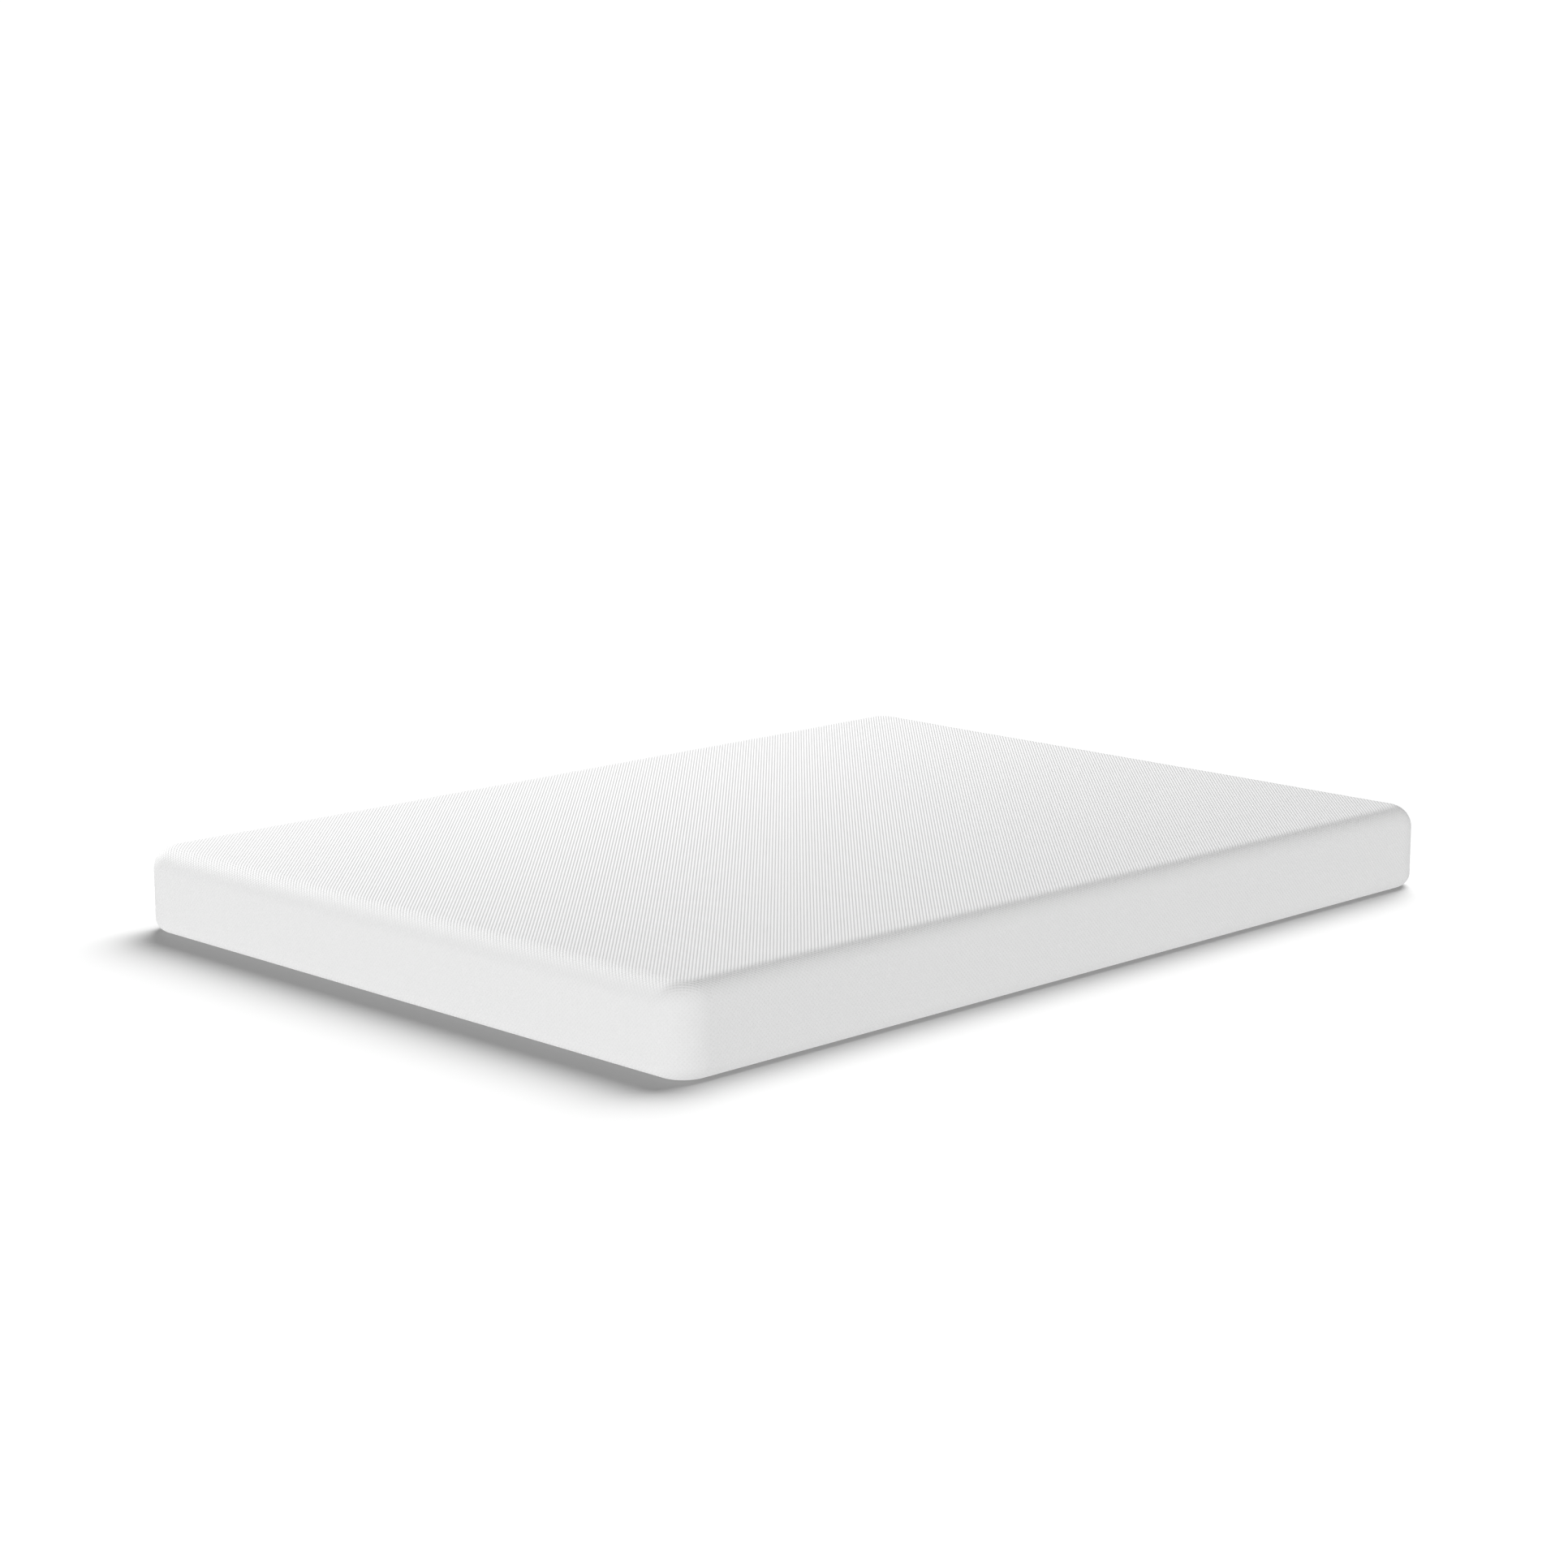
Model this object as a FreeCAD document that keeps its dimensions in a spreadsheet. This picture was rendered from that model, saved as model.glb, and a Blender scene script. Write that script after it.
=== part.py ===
import FreeCAD, Part
import math
import os

import Sketcher

# A foam mattress: three bonded foam layers in a barrier sock, inside a removable knit cover that
# closes with a coil zip in its head-end wall. Millimetres. X runs across the bed, +Y towards the
# head, +Z up, and the origin is the centre of the underside.

os.makedirs("parts", exist_ok=True)
doc = FreeCAD.newDocument("memory_foam_mattress")
sheet = doc.addObject("Spreadsheet::Sheet", "Sizes")

DRIVING_SIZES = [
    # the mattress, over its cover
    ("mattress_width", 1380),
    ("mattress_length", 1880),
    ("mattress_depth", 152),
    ("corner_radius", 58),
    ("top_edge_radius", 40),
    ("bottom_edge_radius", 25),
    # cloth
    ("knit_thickness", 2.4),
    ("sock_thickness", 0.8),
    ("side_ease", 0.3),  # how loosely each layer sits in the one round it
    ("hem_return", 45),  # how far the knit runs in under the bottom edge
    ("opening_corner_radius", 30),
    ("seam_width", 3),
    ("seam_recess", 0.5),
    # foam
    ("memory_thickness", 38),
    ("transition_thickness", 32),
    # zip, on the head-end wall
    ("zip_height", 70),  # from the underside to the zip's centre line
    ("zip_corner_margin", 22),  # from the wall's rounded corner to the end of the zip's window
    ("zip_window_clearance", 0.6),  # above and below the slider's flanges
    ("zip_room", 3),  # between the wall and the sock, for the slider's back plate
    ("tape_width", 15),
    ("tape_thickness", 0.7),
    ("tape_tail", 16),  # past each end of the window
    ("coil_width", 2.35),
    ("coil_rise", 2.4),
    ("coil_round", 0.8),
    ("stop_inset", 1),
    ("stop_length", 2.5),
    ("stop_proud", 0.5),  # how far a stop stands above the coils
    ("stop_round", 0.5),
    # slider and pull
    ("running_clearance", 0.3),
    ("slider_length", 12),
    ("shoulder_overhang", 0.8),  # how much wider the front is than the flanges, on each side
    ("shoulder_start", 0.5),  # from the slider's middle to where it widens
    ("shoulder_run", 2.5),
    ("front_corner_round", 2.2),
    ("top_plate", 1.2),
    ("back_plate", 1),
    ("plate_edge_round", 0.4),
    ("flange_thickness", 1.1),
    ("neck_width", 0.7),
    ("neck_length", 3.5),
    ("neck_inset", 1),
    ("crown_width", 3),
    ("crown_length", 9.2),
    ("crown_strap", 1),
    ("crown_slope", 1.4),
    ("pull_bar_diameter", 1.5),
    ("pull_length", 24),
    ("pull_width", 8),
    ("eye_arm", 1.55),
    ("eye_slack", 1),  # from the crown's end to the end of the eye
    ("pull_thickness", 1.2),
    ("pull_end_round", 3),
    ("pull_edge_round", 0.35),
    ("pull_hole_diameter", 3),
    ("pull_hole_inset", 4.5),
    # labels
    ("label_thickness", 0.4),
    ("care_label_width", 45),
    ("care_label_drop", 29),
    ("care_label_gap", 3),  # from the zip's window down to the label
    ("care_label_from_zip_end", 190),
    ("law_label_width", 100),
    ("law_label_length", 150),
    ("law_label_inset", 90),  # in from the underside seam at the head and the side
]

for row, (alias, value) in enumerate(DRIVING_SIZES, start=1):
    sheet.set(f"A{row}", alias)
    sheet.set(f"B{row}", str(value))
    sheet.setAlias(f"B{row}", alias)
doc.recompute()

# Places and sizes that follow from the driving ones.
CUT_MARGIN = "1"  # how far a cutter reaches past the face it cuts
COVER_HALF_LENGTH = "Sizes.mattress_length / 2"
CAVITY_WIDTH = "(Sizes.mattress_width - 2 * Sizes.knit_thickness)"
CAVITY_LENGTH = "(Sizes.mattress_length - 2 * Sizes.knit_thickness)"
CAVITY_DEPTH = "(Sizes.mattress_depth - 2 * Sizes.knit_thickness)"
CAVITY_CORNER = "(Sizes.corner_radius - Sizes.knit_thickness)"
CAVITY_TOP_ROUND = "(Sizes.top_edge_radius - Sizes.knit_thickness)"
CAVITY_BOTTOM_ROUND = "(Sizes.bottom_edge_radius - Sizes.knit_thickness)"

SOCK_WIDTH = f"({CAVITY_WIDTH} - 2 * Sizes.side_ease)"
SOCK_LENGTH = f"({CAVITY_LENGTH} - Sizes.side_ease - Sizes.zip_room)"
SOCK_CORNER = f"({CAVITY_CORNER} - Sizes.side_ease)"
SOCK_SHIFT = "(Sizes.side_ease - Sizes.zip_room) / 2"

FOAM_WIDTH = f"({SOCK_WIDTH} - 2 * Sizes.sock_thickness - 2 * Sizes.side_ease)"
FOAM_LENGTH = f"({SOCK_LENGTH} - 2 * Sizes.sock_thickness - 2 * Sizes.side_ease)"
FOAM_CORNER = f"({SOCK_CORNER} - Sizes.sock_thickness - Sizes.side_ease)"
FOAM_BOTTOM = "(Sizes.knit_thickness + Sizes.sock_thickness)"
FOAM_TOP = f"(Sizes.mattress_depth - {FOAM_BOTTOM})"
MEMORY_BOTTOM = f"({FOAM_TOP} - Sizes.memory_thickness)"
TRANSITION_BOTTOM = f"({MEMORY_BOTTOM} - Sizes.transition_thickness)"

OPENING_WIDTH = "(Sizes.mattress_width - 2 * Sizes.hem_return)"
OPENING_LENGTH = "(Sizes.mattress_length - 2 * Sizes.hem_return)"
PANEL_WIDTH = f"({OPENING_WIDTH} - 2 * Sizes.seam_width)"
PANEL_LENGTH = f"({OPENING_LENGTH} - 2 * Sizes.seam_width)"
PANEL_CORNER = "(Sizes.opening_corner_radius - Sizes.seam_width)"
LAW_LABEL_X = f"({PANEL_WIDTH} / 2 - Sizes.law_label_inset - Sizes.law_label_width)"
LAW_LABEL_Y = f"({PANEL_LENGTH} / 2 - Sizes.law_label_inset - Sizes.law_label_length)"

ZIP_PLANE = f"({COVER_HALF_LENGTH} - Sizes.knit_thickness)"  # the tapes' outer faces
WINDOW_LENGTH = "(Sizes.mattress_width - 2 * (Sizes.corner_radius + Sizes.zip_corner_margin))"
TAPE_LENGTH = f"({WINDOW_LENGTH} + 2 * Sizes.tape_tail)"
COIL_LENGTH = f"({WINDOW_LENGTH} - 2 * (Sizes.stop_inset + Sizes.stop_length))"
CHAIN_GAP = "(Sizes.neck_width + 2 * Sizes.running_clearance)"
COIL_OUTSIDE = f"({CHAIN_GAP} / 2 + Sizes.coil_width)"  # from the zip's centre line
COIL_MIDDLE = f"({CHAIN_GAP} + Sizes.coil_width) / 2"
STOP_RISE = "(Sizes.coil_rise + Sizes.stop_proud)"
FLANGE_INSIDE = f"({COIL_OUTSIDE} + Sizes.running_clearance)"
FLANGE_OUTSIDE = f"({FLANGE_INSIDE} + Sizes.flange_thickness)"
SHOULDER_OUTSIDE = f"({FLANGE_OUTSIDE} + Sizes.shoulder_overhang)"
WINDOW_HEIGHT = f"(2 * ({FLANGE_OUTSIDE} + Sizes.zip_window_clearance))"
SLIDER_REST = f"(Sizes.slider_length / 2 + Sizes.running_clearance - {COIL_LENGTH} / 2)"
TOP_PLATE_UNDERSIDE = "(max(Sizes.coil_rise; Sizes.knit_thickness) + Sizes.running_clearance)"
TOP_PLATE_FACE = f"({TOP_PLATE_UNDERSIDE} + Sizes.top_plate)"
BACK_PLATE_FACE = "(-Sizes.tape_thickness - Sizes.running_clearance)"
CROWN_INSIDE = "(Sizes.pull_bar_diameter + 2 * Sizes.running_clearance)"
PULL_AXIS = f"({TOP_PLATE_FACE} + Sizes.running_clearance + Sizes.pull_bar_diameter / 2)"
EYE_OPENING = "(Sizes.crown_width + 3 * Sizes.running_clearance)"
EYE_WIDTH = f"({EYE_OPENING} + 2 * Sizes.eye_arm)"
EYE_END = "(Sizes.crown_length / 2 + Sizes.eye_slack)"  # from the bar's middle

FLAT_ON_WALL = FreeCAD.Rotation(FreeCAD.Vector(1, 0, 0), -90)  # turns a zip piece's +Z outwards


def number(expression):
    """The present value of an expression in the sheet's sizes."""
    return float(sheet.evalExpression(expression))


def place(piece, x="0", y="0", z="0", rotation=FreeCAD.Rotation()):
    """Bind a piece's position to the sheet, with a fixed turn."""
    piece.Placement = FreeCAD.Placement(FreeCAD.Vector(), rotation)
    piece.setExpression("Placement.Base.x", x)
    piece.setExpression("Placement.Base.y", y)
    piece.setExpression("Placement.Base.z", z)


def origin_plane(body, role):
    return next(f for f in body.Origin.OriginFeatures if f.Role == role)


def new_sketch(body, name, role="XY_Plane", offset="0"):
    """A sketch on one of the body's own origin planes, raised from it by an offset."""
    sketch = body.newObject("Sketcher::SketchObject", name)
    sketch.AttachmentSupport = (origin_plane(body, role), [""])
    sketch.MapMode = "FlatFace"
    sketch.setExpression("AttachmentOffset.Base.z", offset)
    return sketch


def bind(sketch, name, expression, *constraint):
    """Add a constraint with its present value, and tie it to the sheet."""
    index = sketch.addConstraint(Sketcher.Constraint(*constraint, number(expression)))
    sketch.renameConstraint(index, name)
    sketch.setExpression(f"Constraints.{name}", expression)


def draw_rounded_rectangle(sketch, prefix, width, length, corner):
    """A rectangle centred on the origin, with an arc at each corner."""
    first = sketch.GeometryCount
    x = number(width) / 2
    y = number(length) / 2
    r = number(corner)
    flat_x = x - r
    flat_y = y - r
    ends = [
        ((-flat_x, -y), (flat_x, -y)),
        ((x, -flat_y), (x, flat_y)),
        ((flat_x, y), (-flat_x, y)),
        ((-x, flat_y), (-x, -flat_y)),
    ]
    centres = [(flat_x, -flat_y), (flat_x, flat_y), (-flat_x, flat_y), (-flat_x, -flat_y)]
    for start, end in ends:
        sketch.addGeometry(Part.LineSegment(FreeCAD.Vector(*start, 0), FreeCAD.Vector(*end, 0)))
    for turn, centre in enumerate(centres):
        circle = Part.Circle(FreeCAD.Vector(*centre, 0), FreeCAD.Vector(0, 0, 1), r)
        start_angle = (turn - 1) * math.pi / 2
        sketch.addGeometry(Part.ArcOfCircle(circle, start_angle, start_angle + math.pi / 2))
    for side in range(4):
        arc = first + 4 + side
        following = first + (side + 1) % 4
        sketch.addConstraint(Sketcher.Constraint("Tangent", first + side, 2, arc, 1))
        sketch.addConstraint(Sketcher.Constraint("Tangent", arc, 2, following, 1))
        direction = "Horizontal" if side % 2 == 0 else "Vertical"
        sketch.addConstraint(Sketcher.Constraint(direction, first + side))
    for arc in range(first + 5, first + 8):
        sketch.addConstraint(Sketcher.Constraint("Equal", first + 4, arc))
    sketch.addConstraint(Sketcher.Constraint("Symmetric", first + 4, 3, first + 6, 3, -1, 1))
    bind(sketch, f"{prefix}_corner", corner, "Radius", first + 4)
    bind(sketch, f"{prefix}_width", width, "DistanceX", first + 3, 1, first + 1, 1)
    bind(sketch, f"{prefix}_length", length, "DistanceY", first, 1, first + 2, 1)


def draw_polygon(sketch, corners):
    """Straight lines through corners given as pairs of expressions from the origin."""
    points = [FreeCAD.Vector(number(x), number(y), 0) for x, y in corners]
    count = len(points)
    for side in range(count):
        sketch.addGeometry(Part.LineSegment(points[side], points[(side + 1) % count]))
    for side in range(count):
        sketch.addConstraint(Sketcher.Constraint("Coincident", side, 2, (side + 1) % count, 1))
    for side, (x, y) in enumerate(corners):
        bind(sketch, f"corner_{side}_x", x, "DistanceX", side, 1)
        bind(sketch, f"corner_{side}_y", y, "DistanceY", side, 1)


def pad(body, sketch, name, length, both_ways=False):
    feature = body.newObject("PartDesign::Pad", name)
    feature.Profile = sketch
    feature.setExpression("Length", length)
    feature.Midplane = both_ways
    doc.recompute()
    return feature


def round_edges(body, name, chosen, radius):
    """Round the edges of the body's last feature that a test picks."""
    base = body.Tip
    edges = [f"Edge{i}" for i, edge in enumerate(base.Shape.Edges, start=1) if chosen(edge)]
    fillet = body.newObject("PartDesign::Fillet", name)
    fillet.Base = (base, edges)
    fillet.setExpression("Radius", radius)
    doc.recompute()
    return fillet


def lies_at(height):
    """Picks edges that lie wholly in a plane of constant z."""

    def test(edge):
        box = edge.BoundBox
        return abs(box.ZMin - height) < 1e-6 and abs(box.ZMax - height) < 1e-6

    return test


def upright_at(*places):
    """Picks upright edges that stand on any of the given points in plan."""

    def test(edge):
        box = edge.BoundBox
        upright = box.XLength < 1e-6 and box.YLength < 1e-6
        return upright and any(math.hypot(box.XMin - x, box.YMin - y) < 1e-3 for x, y in places)

    return test


def new_body(label):
    body = doc.addObject("PartDesign::Body", label)
    body.Label = label
    return body


def rounded_slab(label, width, length, corner, height, top_round=None, bottom_round=None):
    """A block with rounded upright corners, and with its top or bottom edge rounded if asked."""
    body = new_body(label)
    sketch = new_sketch(body, f"{label}_outline")
    draw_rounded_rectangle(sketch, "outline", width, length, corner)
    pad(body, sketch, f"{label}_block", height)
    if top_round:
        round_edges(body, f"{label}_top_round", lies_at(number(height)), top_round)
    if bottom_round:
        round_edges(body, f"{label}_bottom_round", lies_at(0), bottom_round)
    return body


def cut(label, base, tool):
    result = doc.addObject("Part::Cut", label)
    result.Label = label
    result.Base = base
    result.Tool = tool
    doc.recompute()
    return result


def box(label, length, width, height, x, y, z):
    """A strip or patch with its lowest corner at x, y, z."""
    block = doc.addObject("Part::Box", label)
    block.Label = label
    block.setExpression("Length", length)
    block.setExpression("Width", width)
    block.setExpression("Height", height)
    place(block, x, y, z)
    return block


def make_knit_cover():
    """Top and four walls in one cloth, open underneath and at the zip's window."""
    outside = rounded_slab(
        "cover_outside",
        "Sizes.mattress_width",
        "Sizes.mattress_length",
        "Sizes.corner_radius",
        "Sizes.mattress_depth",
        "Sizes.top_edge_radius",
        "Sizes.bottom_edge_radius",
    )
    cavity = rounded_slab(
        "cover_cavity",
        CAVITY_WIDTH,
        CAVITY_LENGTH,
        CAVITY_CORNER,
        CAVITY_DEPTH,
        CAVITY_TOP_ROUND,
        CAVITY_BOTTOM_ROUND,
    )
    place(cavity, z="Sizes.knit_thickness")
    opening = rounded_slab(
        "cover_opening",
        OPENING_WIDTH,
        OPENING_LENGTH,
        "Sizes.opening_corner_radius",
        f"Sizes.knit_thickness + 2 * {CUT_MARGIN}",
    )
    place(opening, z=f"-{CUT_MARGIN}")
    window = box(
        "zip_window",
        WINDOW_LENGTH,
        f"Sizes.knit_thickness + 2 * {CUT_MARGIN}",
        WINDOW_HEIGHT,
        f"-{WINDOW_LENGTH} / 2",
        f"{ZIP_PLANE} - {CUT_MARGIN}",
        f"Sizes.zip_height - {WINDOW_HEIGHT} / 2",
    )
    shell = cut("cover_shell", outside, cavity)
    open_shell = cut("cover_open_shell", shell, opening)
    return cut("knit_cover", open_shell, window)


def make_base_panel():
    """The cover's underside cloth, pressed in where the law label lies flush with it."""
    panel = rounded_slab("base_panel", PANEL_WIDTH, PANEL_LENGTH, PANEL_CORNER, "Sizes.knit_thickness")
    outline = new_sketch(panel, "label_bed_outline")
    right = f"{LAW_LABEL_X} + Sizes.law_label_width"
    far = f"{LAW_LABEL_Y} + Sizes.law_label_length"
    corners = [(LAW_LABEL_X, LAW_LABEL_Y), (right, LAW_LABEL_Y), (right, far), (LAW_LABEL_X, far)]
    draw_polygon(outline, corners)
    before = panel.Shape.Volume
    bed = panel.newObject("PartDesign::Pocket", "label_bed")
    bed.Profile = outline
    bed.Reversed = True
    bed.setExpression("Length", "Sizes.label_thickness")
    doc.recompute()
    assert panel.Shape.Volume < before, "the label's bed cut nothing"
    return panel


def make_underside_seam():
    """The overlocked edges of knit and panel, a cord of thread and cloth round the underside."""
    seam = new_body("underside_seam")
    sketch = new_sketch(seam, "seam_outline")
    draw_rounded_rectangle(
        sketch, "outer", OPENING_WIDTH, OPENING_LENGTH, "Sizes.opening_corner_radius"
    )
    draw_rounded_rectangle(sketch, "inner", PANEL_WIDTH, PANEL_LENGTH, PANEL_CORNER)
    pad(seam, sketch, "seam_cord", "Sizes.knit_thickness - Sizes.seam_recess")
    place(seam, z="Sizes.seam_recess")
    return seam


def make_fire_sock():
    """A knitted barrier sleeve, sewn shut all round the foam."""
    outside = rounded_slab(
        "sock_outside",
        SOCK_WIDTH,
        SOCK_LENGTH,
        SOCK_CORNER,
        CAVITY_DEPTH,
        CAVITY_TOP_ROUND,
        CAVITY_BOTTOM_ROUND,
    )
    place(outside, y=SOCK_SHIFT, z="Sizes.knit_thickness")
    inside = rounded_slab(
        "sock_inside",
        f"{SOCK_WIDTH} - 2 * Sizes.sock_thickness",
        f"{SOCK_LENGTH} - 2 * Sizes.sock_thickness",
        f"{SOCK_CORNER} - Sizes.sock_thickness",
        f"{CAVITY_DEPTH} - 2 * Sizes.sock_thickness",
        f"{CAVITY_TOP_ROUND} - Sizes.sock_thickness",
        f"{CAVITY_BOTTOM_ROUND} - Sizes.sock_thickness",
    )
    place(inside, y=SOCK_SHIFT, z=FOAM_BOTTOM)
    return cut("fire_sock", outside, inside)


def make_foam_layers():
    """Three foam blocks stacked face to face. Only the outer two have rounded edges."""
    core = rounded_slab(
        "support_core",
        FOAM_WIDTH,
        FOAM_LENGTH,
        FOAM_CORNER,
        f"{TRANSITION_BOTTOM} - {FOAM_BOTTOM}",
        bottom_round=f"{CAVITY_BOTTOM_ROUND} - Sizes.sock_thickness",
    )
    place(core, y=SOCK_SHIFT, z=FOAM_BOTTOM)
    transition = rounded_slab(
        "transition_foam", FOAM_WIDTH, FOAM_LENGTH, FOAM_CORNER, "Sizes.transition_thickness"
    )
    place(transition, y=SOCK_SHIFT, z=TRANSITION_BOTTOM)
    memory = rounded_slab(
        "memory_foam",
        FOAM_WIDTH,
        FOAM_LENGTH,
        FOAM_CORNER,
        "Sizes.memory_thickness",
        top_round=f"{CAVITY_TOP_ROUND} - Sizes.sock_thickness",
    )
    place(memory, y=SOCK_SHIFT, z=MEMORY_BOTTOM)
    return [core, transition, memory]


def make_zip_tapes():
    """Two woven tapes behind the wall, one above the zip's centre line and one below it."""
    starts = {
        "zip_tape_upper": f"Sizes.zip_height + {CHAIN_GAP} / 2",
        "zip_tape_lower": f"Sizes.zip_height - {CHAIN_GAP} / 2 - Sizes.tape_width",
    }
    tapes = []
    for label, lowest in starts.items():
        tape = box(
            label,
            TAPE_LENGTH,
            "Sizes.tape_thickness",
            "Sizes.tape_width",
            f"-{TAPE_LENGTH} / 2",
            f"{ZIP_PLANE} - Sizes.tape_thickness",
            lowest,
        )
        tapes.append(tape)
    return tapes


def rail(label, length, width, rise, edge_round):
    """A bar lying on the tapes, centred on its own middle, with its two outer edges rounded."""
    body = new_body(label)
    sketch = new_sketch(body, f"{label}_outline")
    half_length = f"({length}) / 2"
    half_width = f"({width}) / 2"
    corners = [
        (f"-{half_length}", f"-{half_width}"),
        (half_length, f"-{half_width}"),
        (half_length, half_width),
        (f"-{half_length}", half_width),
    ]
    draw_polygon(sketch, corners)
    pad(body, sketch, f"{label}_bar", rise)
    top = lies_at(number(rise))
    long_side = number(half_width)
    round_edges(
        body,
        f"{label}_round",
        lambda edge: top(edge) and edge.BoundBox.YLength < long_side,
        edge_round,
    )
    return body


def make_zip_coils():
    """Two coils sewn to the tapes' facing edges, each the outline of its loops."""
    coils = []
    for label, side in (("zip_coil_upper", "+"), ("zip_coil_lower", "-")):
        coil = rail(label, COIL_LENGTH, "Sizes.coil_width", "Sizes.coil_rise", "Sizes.coil_round")
        height = f"Sizes.zip_height {side} {COIL_MIDDLE}"
        place(coil, y=ZIP_PLANE, z=height, rotation=FLAT_ON_WALL)
        coils.append(coil)
    return coils


def make_zip_stops():
    """Crimped stops: one on each coil at the closed end, and one across both at the open end."""
    along = f"({COIL_LENGTH} + Sizes.stop_length) / 2"
    pair = []
    for label, side in (("top_stop_upper", "+"), ("top_stop_lower", "-")):
        stop = rail(label, "Sizes.stop_length", "Sizes.coil_width", STOP_RISE, "Sizes.stop_round")
        height = f"Sizes.zip_height {side} {COIL_MIDDLE}"
        place(stop, x=f"-{along}", y=ZIP_PLANE, z=height, rotation=FLAT_ON_WALL)
        pair.append(stop)
    top_stops = doc.addObject("Part::Compound", "zip_top_stops")
    top_stops.Label = "zip_top_stops"
    top_stops.Links = pair
    bottom_stop = rail(
        "zip_bottom_stop",
        "Sizes.stop_length",
        f"2 * {COIL_OUTSIDE}",
        STOP_RISE,
        "Sizes.stop_round",
    )
    place(bottom_stop, x=along, y=ZIP_PLANE, z="Sizes.zip_height", rotation=FLAT_ON_WALL)
    return [top_stops, bottom_stop]


def plate_corners():
    """The slider's plan: wide shoulders in front, at -X, and narrower behind."""
    front = "-Sizes.slider_length / 2"
    back = "Sizes.slider_length / 2"
    wide = SHOULDER_OUTSIDE
    narrow = FLANGE_OUTSIDE
    shoulder = "-Sizes.shoulder_start"
    waist = "Sizes.shoulder_run - Sizes.shoulder_start"
    return [
        (front, f"-{wide}"),
        (shoulder, f"-{wide}"),
        (waist, f"-{narrow}"),
        (back, f"-{narrow}"),
        (back, narrow),
        (waist, narrow),
        (shoulder, wide),
        (front, wide),
    ]


def make_zip_slider():
    """Two plates joined by a neck between the coils, with flanges and a crown for the pull."""
    slider = new_body("zip_slider")
    front = number("-Sizes.slider_length / 2")
    wide = number(SHOULDER_OUTSIDE)

    top_outline = new_sketch(slider, "top_plate_outline", offset=TOP_PLATE_UNDERSIDE)
    draw_polygon(top_outline, plate_corners())
    pad(slider, top_outline, "top_plate", "Sizes.top_plate")
    front_corners = upright_at((front, -wide), (front, wide))
    round_edges(slider, "top_plate_corners", front_corners, "Sizes.front_corner_round")
    round_edges(
        slider, "top_plate_edge", lies_at(number(TOP_PLATE_FACE)), "Sizes.plate_edge_round"
    )

    flange_front = "-Sizes.slider_length / 2 + Sizes.front_corner_round"
    flange_back = "Sizes.slider_length / 2"
    flanges = (
        ("left_flange", FLANGE_INSIDE, FLANGE_OUTSIDE),
        ("right_flange", f"-{FLANGE_OUTSIDE}", f"-{FLANGE_INSIDE}"),
    )
    for name, near, far in flanges:
        flange_outline = new_sketch(slider, f"{name}_outline", offset="Sizes.running_clearance")
        corners = [(flange_front, near), (flange_back, near), (flange_back, far), (flange_front, far)]
        draw_polygon(flange_outline, corners)
        pad(slider, flange_outline, name, f"{TOP_PLATE_UNDERSIDE} - Sizes.running_clearance")

    neck_outline = new_sketch(slider, "neck_outline", offset=BACK_PLATE_FACE)
    neck_front = "-Sizes.slider_length / 2 + Sizes.neck_inset"
    neck_back = f"{neck_front} + Sizes.neck_length"
    half_neck = "Sizes.neck_width / 2"
    neck_corners = [
        (neck_front, f"-{half_neck}"),
        (neck_back, f"-{half_neck}"),
        (neck_back, half_neck),
        (neck_front, half_neck),
    ]
    draw_polygon(neck_outline, neck_corners)
    pad(slider, neck_outline, "neck", f"{TOP_PLATE_UNDERSIDE} - {BACK_PLATE_FACE}")

    back_outline = new_sketch(
        slider, "back_plate_outline", offset=f"{BACK_PLATE_FACE} - Sizes.back_plate"
    )
    draw_polygon(back_outline, plate_corners())
    pad(slider, back_outline, "back_plate", "Sizes.back_plate")
    back_underside = number(f"{BACK_PLATE_FACE} - Sizes.back_plate")
    round_edges(
        slider,
        "back_plate_corners",
        lambda edge: front_corners(edge) and edge.BoundBox.ZMax < 0,
        "Sizes.front_corner_round",
    )
    round_edges(slider, "back_plate_edge", lies_at(back_underside), "Sizes.plate_edge_round")

    crown_outline = new_sketch(slider, "crown_outline", role="XZ_Plane")
    draw_polygon(crown_outline, crown_corners())
    pad(slider, crown_outline, "crown", "Sizes.crown_width", both_ways=True)
    place(slider, x=SLIDER_REST, y=ZIP_PLANE, z="Sizes.zip_height", rotation=FLAT_ON_WALL)
    return slider


def crown_corners():
    """The crown from the side: a strap that rises from the top plate, runs level and comes down."""
    foot = "Sizes.crown_length / 2"
    inner_foot = "(Sizes.crown_length / 2 - Sizes.crown_strap)"
    head = "(Sizes.crown_length / 2 - Sizes.crown_slope)"
    inner_head = "(Sizes.crown_length / 2 - Sizes.crown_slope - Sizes.crown_strap)"
    seat = TOP_PLATE_FACE
    ceiling = f"({TOP_PLATE_FACE} + {CROWN_INSIDE})"
    roof = f"({ceiling} + Sizes.crown_strap)"
    return [
        (f"-{foot}", seat),
        (f"-{inner_foot}", seat),
        (f"-{inner_head}", ceiling),
        (inner_head, ceiling),
        (inner_foot, seat),
        (foot, seat),
        (head, roof),
        (f"-{head}", roof),
    ]


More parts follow.
